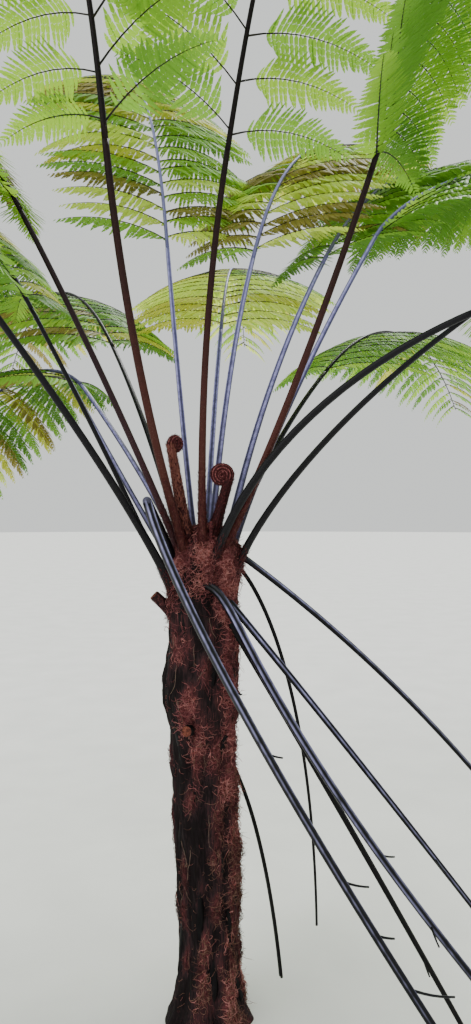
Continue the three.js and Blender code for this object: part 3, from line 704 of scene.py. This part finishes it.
# A frond's line, and the part of it between two lengths in metres
def frondPath(frond):
    blade = grown["blade"] * frond["size"]
    stipe = frond["stipe"] * mm
    total = stipe + blade

    def elevationAt(t):
        s = t * total
        stem = frond["rise"] - frond["bend"] * np.minimum(s / stipe, 1) ** frond["ease"]
        return stem - frond["arch"] * (np.maximum(0, s - stipe) / blade) ** frond["curl"]
    whole = stemPath(footOf(frond), frond["bearing"], elevationAt, total)
    return lambda start, end: (lambda t: whole((start + (end - start) * np.asarray(t, float)) / total))


# The source's rule for a leaflet's length at a share of the blade: longest at a third, short at the tip
def leafletReach(share):
    base = 0.78 + 0.22 * min(share / 0.3, 1)
    fall = max(0, (share - 0.3) / 0.7)
    return grown["reach"] * base * (1 - 0.82 * fall ** 1.6)


# One leaflet's line and the direction of its width: it leaves the rib sideways and droops along its length
def leafletLine(frond, point, along, side, reach, droop, facing):
    turn = math.radians(grown["angle"])
    spine = sidePath(point, along * math.cos(turn) + acrossOf(frond) * side * math.sin(turn), -droop, reach)
    outward = heading(frond["bearing"], 0) * facing + along * (1 - facing)
    middle = spine(0.5)[1]
    return spine, unit(outward - middle * (outward @ middle))


# Sections: each row is a height, the radians from the groove's middle, and a width. Minus is a dent
living = {
    # the band of wax bloom and painted highlight round the ridges, and how it grows from the foot
    "section": [(-0.17, 0, 0.42), (0.04, 0.85, 0.3)], "wax": (0.9, 0.42), "waxAndSheenFoot": 0.25, "waxAndSheenRise": 1.6,
    "swell": 0.4, "swellOver": 0.07, "stalk": (16, 48), "rib": (8, 44),   # sides and steps
}


def fromGroove(angle, turn=0):
    return np.abs((angle - 1.5 * math.pi - turn + math.pi) % (2 * math.pi) - math.pi)


def dented(off, rows):
    return 1 + sum(high * bell(off, middle, wide) for high, middle, wide in rows)


# A living stalk has a groove along its upper side and slight ridges beside it
def stalkSection(angle, t):
    return dented(fromGroove(angle), living["section"])


# Wax bloom and a painted highlight lie on the ridges of the upper side, and fade towards the foot
def stalkWaxAndSheen(angle, t):
    return bell(fromGroove(angle), *living["wax"]) * np.clip(living["waxAndSheenFoot"] + living["waxAndSheenRise"] * t, 0, 1)


def footSwell(distance):
    return 1 + living["swell"] * np.exp(-distance / living["swellOver"])


def buildStalks():
    for look, slot in slots.items():
        bm = bmesh.new()
        alike = [frond for frond in fronds.values() if frond["look"] == look]
        for frond in alike:
            stipe, thin = frond["stipe"] * mm, frond["thin"]
            across, section = acrossOf(frond), frondPath(frond)
            bare = tapered(frond["thick"], thin)
            addTube(bm, section(0.0, stipe), across, lambda t: bare(t) * footSwell(t * stipe), *living["stalk"],
                    stalkSection, wax=stalkWaxAndSheen)
            end = stipe + grown["blade"] * frond["size"] * grown["ribShare"]
            addTube(bm, section(stipe - grown["lap"], end), across, tapered(thin * grown["ribRoot"], grown["ribTip"]),
                    *living["rib"], wax=stalkWaxAndSheen)
        fromBmesh("stalks_" + look, bm, looks[look], ["stipe_" + frond["name"] for frond in alike])


pinnules = {
    "first": 0.012, "firstAiry": 0.15, "last": 0.985, "pitch": 0.0162, "wide": 0.0190, "lobes": 4,
    "startAngle": 78, "endAngle": 50, "stray": 0.06, "least": 0.008, "slim": 0.42,
    "lead": 0.045, "rise": 0.17, "fullTo": 0.3, "fallOver": 0.72, "fallEase": 0.72,   # the leaflet's outline
    "flatTo": 0.22, "flat": 0.25,   # those by the rib lie flat
    "shapes": [(0.2, 0.05, 0.15), (0.5, 0.12, 0.25), (0.3, -0.05, 0.08), (0.7, 0.2, 0.3)],   # sickle, droop, fold
}


# Half the width of a leaflet along its length
def leafletOutline(t, first):
    rise = np.clip((t - first + pinnules["lead"]) / pinnules["rise"], 0, 1)
    fall = np.maximum(0, t - pinnules["fullTo"]) / pinnules["fallOver"]
    return np.sin(rise * math.pi / 2) * np.clip(1 - fall, 0, 1) ** pinnules["fallEase"]


# A leaflet's finest leaf, cut to its rib in lobes: flat quads left and right of the rib, 1 long and 1 wide
def pinnuleShape(lobes, sickle, droop, fold):
    def wide(x):
        return 0.5 * np.clip(0.6 + 3.0 * x, 0, 1) * np.clip(1.03 - x, 0, 1) ** 0.5
    ends = np.linspace(0, 0.97, lobes + 1)
    corners = [(x, 0.0) for x in ends]
    faces = []
    for i, (a, b) in enumerate(zip(ends[:-1], ends[1:])):
        last = i == lobes - 1
        for side in (1, -1):
            outer = len(corners)
            corners.append((a + 0.34 * (b - a), side * wide(a + 0.3 * (b - a))))
            corners.append((1.0 if last else b + 0.22 * (b - a), side * wide(b) * (0.25 if last else 0.86)))
            quad = (i, i + 1, outer + 1, outer)
            faces.append(quad if side > 0 else quad[::-1])
    x, y = np.array(corners).T
    return np.stack([x, y + sickle * x ** 2, -droop * x ** 2 - fold * np.abs(y)], axis=-1), np.array(faces)


shapes = [pinnuleShape(pinnules["lobes"], *row) for row in pinnules["shapes"]]


# The pinnules down both sides of one leaflet
def leafletLeaves(spine, wide, length, halfWidth, hang, first):
    count = max(3, int(round((pinnules["last"] - first) * length / pinnules["pitch"])))
    t = np.linspace(first, pinnules["last"], count)
    corners, faces = [], []
    for side in (1, -1):
        point, along = spine(t + rng.normal(0, pinnules["stray"], count) * (t[1] - t[0]))
        across = unit(wide - along * (along @ wide)[:, None])
        up = np.cross(across, along)
        up = up * np.where(up[:, 2:] < 0, -1, 1)
        turn = np.radians(pinnules["startAngle"] + (pinnules["endAngle"] - pinnules["startAngle"]) * t)
        reach = np.maximum(halfWidth * leafletOutline(t, first) / np.sin(turn), pinnules["least"])
        reach = reach * rng.uniform(0.9, 1.06, count)
        out = along * np.cos(turn)[:, None] + across * (side * np.sin(turn))[:, None]
        down = hang * np.clip(t / pinnules["flatTo"], pinnules["flat"], 1) * rng.uniform(0.6, 1.4, count)
        out = unit(out - np.array([0, 0, 1]) * down[:, None])
        forward = unit(along - out * (along * out).sum(-1, keepdims=True))
        top = np.cross(out, forward)
        under = (top * up).sum(-1) < 0
        top = top * np.where(under, -1, 1)[:, None]
        broad = np.minimum(pinnules["wide"], reach * pinnules["slim"]) * rng.uniform(0.92, 1.08, count)
        pick = rng.integers(0, len(shapes), count)
        for k, (shape, quads) in enumerate(shapes):
            here = pick == k
            if not here.any():
                continue
            x, y, z = shape.T[:, None, :, None]
            long, across3 = reach[here, None, None], broad[here, None, None]
            block = (point[here, None] + out[here, None] * (x * long) + forward[here, None] * (y * across3)
                     + top[here, None] * (z * across3))
            number = np.arange(here.sum())[:, None, None] * len(shape)
            order = np.where(under[here, None, None], quads[:, ::-1], quads)   # every leaf faces up
            corners.append(block.reshape(-1, 3))
            faces.append((order + number).reshape(-1, 4))
    return corners, faces


# Which tint each spray gets: shares of each for every frond, and the usual ones for the rest
tintNames = ("fresh", "mid", "deep", "lime", "gold", "dry")
tintShares = {
    "front_left": (0.5, 0.36, 0.14, 0.0, 0.0, 0.0), "front_right": (0.6, 0.32, 0.08, 0.0, 0.0, 0.0),
    "right_tall": (0.45, 0.47, 0.08, 0.0, 0.0, 0.0), "back_right_tall": (0.05, 0.1, 0.05, 0.25, 0.17, 0.38),
    "back_right": (0.2, 0.4, 0.2, 0.05, 0.07, 0.08), "right_arching": (0.3, 0.45, 0.15, 0.0, 0.05, 0.05),
    "back_left_upright": (0.25, 0.2, 0.05, 0.3, 0.08, 0.12), "back": (0.1, 0.0, 0.0, 0.7, 0.15, 0.05),
    "back_left": (0.15, 0.3, 0.3, 0.02, 0.1, 0.13), "left_arching": (0.1, 0.27, 0.24, 0.05, 0.14, 0.2),
    "left_back": (0.25, 0.3, 0.25, 0.0, 0.1, 0.1), "back_right_low": (0.2, 0.4, 0.3, 0.0, 0.05, 0.05),
}
usualShares = (0.4, 0.36, 0.12, 0.04, 0.06, 0.02)


def buildLeaves():
    leaves = {tint: ([], [], set()) for tint in tintNames}
    veins, veinRadii = [], []
    veinAt = np.linspace(0, grown["veinEnd"], grown["veinPoints"])

    def grow(frond, point, along, side, reach, droop):
        name = frond["name"]
        spine, wide = leafletLine(frond, point, along, side, reach, droop, frond["facing"])
        shares = np.array(tintShares.get(name, usualShares))
        corners, faces, nodes = leaves[tintNames[rng.choice(len(shares), p=shares / shares.sum())]]
        more = leafletLeaves(spine, wide, reach, min(grown["width"], reach * grown["slim"]) / 2, frond["hang"],
                             pinnules["firstAiry" if name in airy else "first"])
        corners.extend(more[0])
        faces.extend(more[1])
        nodes.add("blade_" + name)
        veins.append(spine(veinAt)[0])
        veinRadii.append(np.interp(veinAt, [0, 0.2, 1], grown["vein"]) * (0.6 + 0.4 * reach / grown["reach"]))

    for name, frond in fronds.items():
        blade = grown["blade"] * frond["size"]
        stipe, ribEnd = frond["stipe"] * mm, blade * grown["ribShare"]
        rib = chorded(frondPath(frond)(stipe + 0.4 * mm, stipe + ribEnd), grown["ribSteps"])
        known = np.array([v.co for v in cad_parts["blade_" + name].data.vertices])
        for i in range(grown["leaflets"]):
            s = (grown["first"] + i * grown["pitch"]) * frond["size"]
            side = -frond["firstSide"] if i % 2 else frond["firstSide"]
            full = leafletReach(s / blade) * frond["size"]
            for turn, size in grown["trials"]:
                droop = grown["droop"] + turn
                tip = leafletLine(frond, *rib(s / ribEnd), side, full * size, droop, 1)[0](1.0)[0]
                if np.linalg.norm(known - tip, axis=1).min() < grown["tipFound"]:
                    for shift, way, share in grown["pairs"][:2 if name in airy else 4]:
                        if s + shift < ribEnd:
                            grow(frond, *rib((s + shift) / ribEnd), side * way, full * size * share, droop)
                    break
        for k, s in enumerate(np.arange(*grown["small"]) * blade):
            grow(frond, *rib(s / ribEnd), frond["firstSide"] * (1 if k % 2 else -1),
                 grown["smallReach"] - grown["smallLess"] * k, grown["smallDroop"])

    fromStems("leaflet_ribs", np.array(veins), np.array(veinRadii), 4, looks["rib"])
    total = 0
    for tint, (corners, faces, nodes) in leaves.items():
        starts, batch = [0], 0
        for k, block in enumerate(faces):
            batch += 2 * len(block)
            total += 2 * len(block)
            if batch > grown["most"]:
                starts.append(k)
                batch = 2 * len(block)
        for number, (start, end) in enumerate(zip(starts, starts[1:] + [len(faces)]), 1):
            fromArrays(f"leaves_{tint}_{number}", corners[start:end], faces[start:end], looks[tint],
                       sorted(nodes))
    print("leaf triangles", total)


buildStalks()
buildLeaves()
print("fronds ready")


# Old fronds: bare stalks that hang to the ground, in millimetres and degrees

stemColumns = ("footBearing", "footHeight", "bearing", "rise", "bend", "ease", "length", "thick", "thin",
               "stumpFrom", "stumpSide")
hangingRows = {
    "hanging_front": (266, 1364, 333, -68, -28, 0.56, 1835, 13.5, 8, 900, 1),
    "hanging_front_low": (315, 1275, 341, -57, 2, 1, 1490, 10.5, 6.5, 1100, -1),
    "hanging_right": (298, 1351, 352, -49, 3, 0.5, 1725, 11.5, 6, 1000, -1),
    "hanging_right_back": (357, 1465, 2, -36, 25, 1, 1965, 10, 5.5, 1050, 1),
    "hanging_low": (350, 815, 20, -36, 48, 0.2, 740, 10, 7, 900, 1),
    "hanging_thin": (34, 1432, 20, 45, 134, 0.11, 1290, 7, 4, 1400, 1),
}
crests = {"hanging_front": {"crest": 84, "over": 45}}   # arches up over its foot before it hangs
grooveTurns = {"hanging_front": -0.8, "hanging_right": -0.6, "hanging_right_back": -0.3}   # towards the viewer
dryStalks = ("hanging_low", "hanging_thin", "hanging_front_low")   # thin ones without wax bloom and painted highlight
lowPair = {"thick": 5.4, "thin": 4.2, "apart": 5.5}   # hanging_low is two thin stalks side by side
foldedBase = {"footBearing": 197, "footHeight": 1405, "bearing": 242, "rise": 54, "bend": 4, "ease": 1,
              "length": 262, "thick": 15, "thin": 13.5}
foldedFall = {"bearing": 318, "rise": -86, "bend": -45, "ease": 0.19, "length": 2160, "thick": 13.5, "thin": 7,
              "stumpSide": 1, "stumps": [(600, 30), (780, 48), (1116, 74), (1244, 52), (1365, 118), (1590, 90),
                                         (1790, 110), (1970, 80)]}   # place and length
foldedWaxAndSheen = (-0.3, 0.85, 1.0)   # turn of the groove, then how much wax bloom and painted highlight is gone at the end and left at the start
# the knee's gap and ball radius in millimetres, and the share of wax bloom and painted highlight on the ball
knee = {"gap": 2, "radius": 13.7, "wax": 0.5}
stumps = {"pitch": 205, "radius": 3.5, "tip": 2.45, "length": 62, "growth": 1.16, "angle": 48, "rise": 20,
          "clear": 0.012}
dead = {
    "section": [(-0.5, 0, 0.26), (0.06, 0.72, 0.25), (-0.10, 1.45, 0.3)], "twist": 0.02,
    # the band of wax bloom and painted highlight round the ridges, the most and least of it along the stalk, and how
    # soon it starts
    "wax": (0.68, 0.36), "waxAndSheenMost": 1.05, "waxAndSheenLeast": 0.45, "waxAndSheenFoot": 0.07, "clear": 0.016,
    "stalk": (20, 72), "base": (20, 14), "stump": (6, 6),   # sides and steps
}


def hangingPath(stem, start):
    length, crest, over = stem["length"], stem.get("crest", 0), stem.get("over", 1)
    return stemPath(start, stem["bearing"], lambda t: (stem["rise"] - stem["bend"] * t ** stem["ease"]
                                                       + crest * np.exp(-t * length / over)), length * mm)


def stumpPlaces(stem):
    if "stumps" in stem:
        return [(s, long, stem["stumpSide"]) for s, long in stem["stumps"]]
    places = np.arange(stem["stumpFrom"], stem["length"] - stumps["pitch"] / 2, stumps["pitch"])
    return [(s, stumps["length"] * stumps["growth"] ** i, stem["stumpSide"] * (-1) ** i)
            for i, s in enumerate(places)]


# A dead stalk has shrunk: a deep groove between two ridges, and flats round the rest
def deadSection(turn=0.0):
    return lambda angle, t: (dented(fromGroove(angle, turn), dead["section"])
                             + dead["twist"] * np.cos(3 * angle + 7 * t))


# Its wax bloom and painted highlight lie on the ridges too: fade says how much is gone at the end, foot how much is
# left at the start
def deadWaxAndSheen(turn, fade, foot):
    return lambda angle, t: (bell(fromGroove(angle, turn), *dead["wax"])
                             * np.clip(dead["waxAndSheenMost"] - fade * t, dead["waxAndSheenLeast"], 1)
                             * np.clip(foot + t / dead["waxAndSheenFoot"], 0, 1))


# A stalk down to the ground, with the stumps of its leaflets on both sides
def addOldStalk(bm, stem, path, across, turn=0.0, fade=0.6, foot=0.0):
    length = stem["length"] * mm
    ends = np.linspace(0, 1, 200)
    under = np.nonzero(path(ends)[0][:, 2] < dead["clear"])[0]
    last = ends[under[0]] if len(under) else 1.0
    addTube(bm, path, across, tapered(stem["thick"], stem["thin"]), *dead["stalk"], deadSection(turn), (0, last),
            deadWaxAndSheen(turn, fade, foot))
    angle = math.radians(stumps["angle"])
    for s, long, side in stumpPlaces(stem):
        if s * mm / length > last:
            continue
        point, along = path(s * mm / length)
        twig = sidePath(point, along * math.cos(angle) + across * side * math.sin(angle), stumps["rise"], long * mm)
        if twig(1.0)[0][2] > stumps["clear"]:
            addTube(bm, twig, unit(np.cross(twig(0.5)[1], [0.1, 0.2, 1])), tapered(stumps["radius"], stumps["tip"]),
                    *dead["stump"])


def buildOldStalks():
    for name, row in hangingRows.items():
        stem = dict(zip(stemColumns, row), **crests.get(name, {}))
        path = hangingPath(stem, footOf(stem))
        across = acrossOf(stem)
        bm = bmesh.new()
        if name == "hanging_low":
            for side in (-1, 1):
                shift = across * side * lowPair["apart"] * mm
                half = dict(stem, thick=lowPair["thick"], thin=lowPair["thin"])
                addOldStalk(bm, half, lambda t: (path(t)[0] + shift, path(t)[1]), across)
        else:
            addOldStalk(bm, stem, path, across, grooveTurns.get(name, 0))
        look = "oldThin" if name in dryStalks else "old"
        fromBmesh("old_" + name, bm, looks[look], ["stalk_" + name])

    base = hangingPath(foldedBase, footOf(foldedBase))
    bent = base(1.0)[0]
    fall = hangingPath(foldedFall, bent + heading(foldedFall["bearing"], foldedFall["rise"]) * knee["gap"] * mm)
    bm = bmesh.new()
    addTube(bm, base, acrossOf(foldedBase), tapered(foldedBase["thick"], foldedBase["thin"]), *dead["base"],
            deadSection())
    ball = bmesh.ops.create_uvsphere(bm, u_segments=16, v_segments=12, radius=knee["radius"] * mm)["verts"]
    bmesh.ops.translate(bm, verts=ball, vec=bent)
    # the ball at the knee carries half the wax bloom and painted highlight
    for vert in ball:
        vert[bm.verts.layers.float["wax"]] = knee["wax"]
    addOldStalk(bm, foldedFall, fall, acrossOf(foldedFall), *foldedWaxAndSheen)
    fromBmesh("old_folded", bm, looks["old"], ["folded_stalk", "folded_fall"])


buildOldStalks()
print("old stalks ready")


# Croziers: scaly stalks that end in a coil, and a small bud between them, in millimetres and degrees

croziers = {
    "crozier_left": {"footBearing": 214, "footRadius": 74, "footHeight": 1500, "bearing": 214, "rise": 79,
                     "length": 290, "thick": 18, "thin": 12.5, "coil": 17, "tube": 13, "turn": 50,
                     "look": "hair", "scales": 3000},
    "crozier_right": {"footBearing": 290, "footRadius": 60, "footHeight": 1510, "bearing": 348, "rise": 74,
                      "length": 188, "thick": 16.5, "thin": 14.5, "coil": 24, "tube": 14, "turn": 10,
                      "look": "scales", "scales": 1500},
}
coil = {   # two turns, tight inside the first
    "turns": 2.0, "points": 66, "openTo": 0.8, "shrink": 0.93, "ease": 0.85, "join": 1.8,
    # the coil's painted ridge highlight keeps at least this share down the stalk
    "stalkEnd": 0.97, "stalkPoints": 26, "look": 0.012, "tube": (40, 90), "waxAndSheenLeast": 0.45,
}
bud = {"footBearing": 281, "footRadius": 80, "footHeight": 1474, "bearing": 281, "rise": 84, "length": 66,
       "thick": 7, "thin": 6, "ball": 10.5, "tall": 1.28}
scaleSizes = {"long": 0.013, "wide": 0.0026, "stand": 0.35, "sunk": 0.94}
scalyFeet = {   # how many scales on which length of a living stalk's foot, in metres
    "front_left": (700, 0.26), "front_right": (700, 0.26), "right_tall": (700, 0.26), "left": (400, 0.17),
    "right_front": (480, 0.13), "right_low": (380, 0.11), "left_front": (380, 0.11), "left_thin": (200, 0.1),
}


# Flat pointed scales on a tube's skin: each a small kite
def scaleArrays(points, alongs, outs, longs):
    side = np.cross(outs, alongs) * scaleSizes["wide"] / 2
    tip = unit(alongs + outs * scaleSizes["stand"] * rng.uniform(0.4, 2.0, (len(points), 1)))
    middle = points + tip * (longs * 0.4)[:, None]
    corners = np.stack([points, middle - side, points + tip * longs[:, None], middle + side], axis=1)
    return corners.reshape(-1, 3), np.arange(len(points))[:, None] * 4 + np.arange(4)


# The crozier's line up its stalk and round its coil, the side direction, and where along it the coil starts
def coilPath(young):
    path = straightPath(young)
    end, full = path(1.0)[0], young["coil"] * mm
    out, flat = heading(young["bearing"], 0), heading(young["turn"], 0)
    q = np.linspace(0, coil["turns"] * 2 * math.pi, coil["points"])
    start = coil["openTo"] * math.pi
    radius = full * (1 - coil["shrink"] * np.clip((q - start) / (q[-1] - start), 0, 1) ** coil["ease"])
    sign = 1 if out @ flat > 0 else -1
    ring = (end - out * full + (np.cos(q) * sign * radius)[:, None] * flat
            + (np.sin(q) * radius)[:, None] * np.array([0, 0, 1.0]))
    ring += (end - ring[0]) * np.clip(1 - q / coil["join"], 0, 1)[:, None]
    line = np.concatenate([path(np.linspace(0, coil["stalkEnd"], coil["stalkPoints"]))[0], ring])
    steps = np.concatenate([[0], np.cumsum(np.linalg.norm(np.diff(line, axis=0), axis=1))])
    return (linePath(line, steps / steps[-1], coil["look"]), np.cross(flat, [0, 0, 1.0]),
            young["length"] * mm / steps[-1])


def buildCroziers():
    for name, young in croziers.items():
        path, side, bend = coilPath(young)
        thick, thin, tube = young["thick"], young["thin"], young["tube"]
        radiusAt = lambda t: np.interp(t, [0, bend * 0.35, bend * 0.9, bend, 0.8, 1], [
            thick * 1.3, thick * 0.95, thin, tube, tube * 0.92, tube * 0.65]) * mm
        bm = bmesh.new()
        # the skin is lighter on the coil's ridge crests: a painted highlight, weaker down the stalk
        addTube(bm, path, side, radiusAt, *coil["tube"],
                lambda a, t: 1 + 0.06 * np.cos(9 * a) + 0.02 * np.sin(70 * t),
                wax=lambda a, t: (0.5 + 0.5 * np.cos(9 * a)) * np.clip((t - bend * 0.8) / 0.1, coil["waxAndSheenLeast"], 1))
        fromBmesh(name + "_skin", bm, looks["coil"], [name])
        t = rng.uniform(0.02, 0.97, young["scales"])
        angle = rng.uniform(0, 2 * math.pi, len(t))
        base, along, out = onTube(path, side, radiusAt(t) * scaleSizes["sunk"], angle, t)
        longs = scaleSizes["long"] * rng.uniform(0.6, 1.3, len(t)) * np.where(t > bend, 0.75, 1.1)
        onStalk = t < bend * 0.98
        for mask, look, ending in ((onStalk, young["look"], "stalk_scales"), (~onStalk, "scales", "coil_scales")):
            corners, faces = scaleArrays(base[mask], along[mask], out[mask], longs[mask])
            fromArrays(f"{name}_{ending}", [corners], [faces], looks[look])


# The feet of the newest stalks still carry scales
def buildFootScales():
    for name, (count, length) in scalyFeet.items():
        foot = fronds[name]
        t = rng.beta(1, 1.7, count)
        angle = rng.uniform(0, 2 * math.pi, count)
        swell = foot["thick"] * mm * footSwell(t * length) * 0.95
        base, along, out = onTube(frondPath(foot)(0.0, length), acrossOf(foot), swell, angle, t)
        corners, faces = scaleArrays(base, along, out, scaleSizes["long"] * rng.uniform(0.7, 1.4, count))
        fromArrays("foot_scales_" + name, [corners], [faces], looks["scales"])


def buildBud():
    bm = bmesh.new()
    path = straightPath(bud)
    addTube(bm, path, acrossOf(bud), tapered(bud["thick"], bud["thin"]), 10, 8)
    ball = bmesh.ops.create_uvsphere(bm, u_segments=18, v_segments=12, radius=bud["ball"] * mm)["verts"]
    bmesh.ops.scale(bm, verts=ball, vec=(1, 1, bud["tall"]))
    bmesh.ops.translate(bm, verts=ball, vec=path(1.0)[0])
    fromBmesh("crozier_bud_skin", bm, looks["scales"], ["crozier_bud"])


# Sawn stubs: a rough stalk end with a ringed cut

stubs = {
    "stub_left": {"footBearing": 192, "footHeight": 1268, "bearing": 190, "rise": 44, "length": 80, "thick": 19,
                  "thin": 16, "look": "stubBark"},
    "stub_front": {"footBearing": 254, "footHeight": 928, "bearing": 252, "rise": 6, "length": 48, "thick": 18,
                   "thin": 16, "look": "slab"},
}
cut = {"share": 0.93, "thick": 0.004, "rings": [(0.003, 0.0), (0.004, -0.0012), (0.0035, 0.0016)]}   # inset, depth


def buildStubs():
    for name, stub in stubs.items():
        path = straightPath(stub)
        bm = bmesh.new()
        addTube(bm, path, acrossOf(stub), tapered(stub["thick"], stub["thin"]), 24, 14,
                lambda a, t: 1 + 0.05 * np.cos(5 * a + 3 * t) + 0.03 * np.cos(11 * a - 8 * t) - 0.05 * (t > 0.93))
        fromBmesh(name + "_skin", bm, looks[stub["look"]], [name])
        end, along = path(1.0)
        bm = bmesh.new()
        radius = stub["thin"] * cut["share"] * mm
        bmesh.ops.create_cone(bm, cap_ends=True, segments=24, radius1=radius, radius2=radius, depth=cut["thick"])
        top = max(bm.faces, key=lambda face: face.calc_center_median().z)
        for thickness, depth in cut["rings"]:
            bmesh.ops.inset_region(bm, faces=[top], thickness=thickness, depth=depth)
        turn = Vector((0, 0, 1)).rotation_difference(Vector(along)).to_matrix()
        bmesh.ops.rotate(bm, verts=bm.verts, matrix=turn, cent=(0, 0, 0))
        bmesh.ops.translate(bm, verts=bm.verts, vec=Vector(end))
        fromBmesh(name + "_cut", bm, looks["cut"], smooth=False)


buildCroziers()
buildFootScales()
buildBud()
buildStubs()
print("croziers and stubs ready")
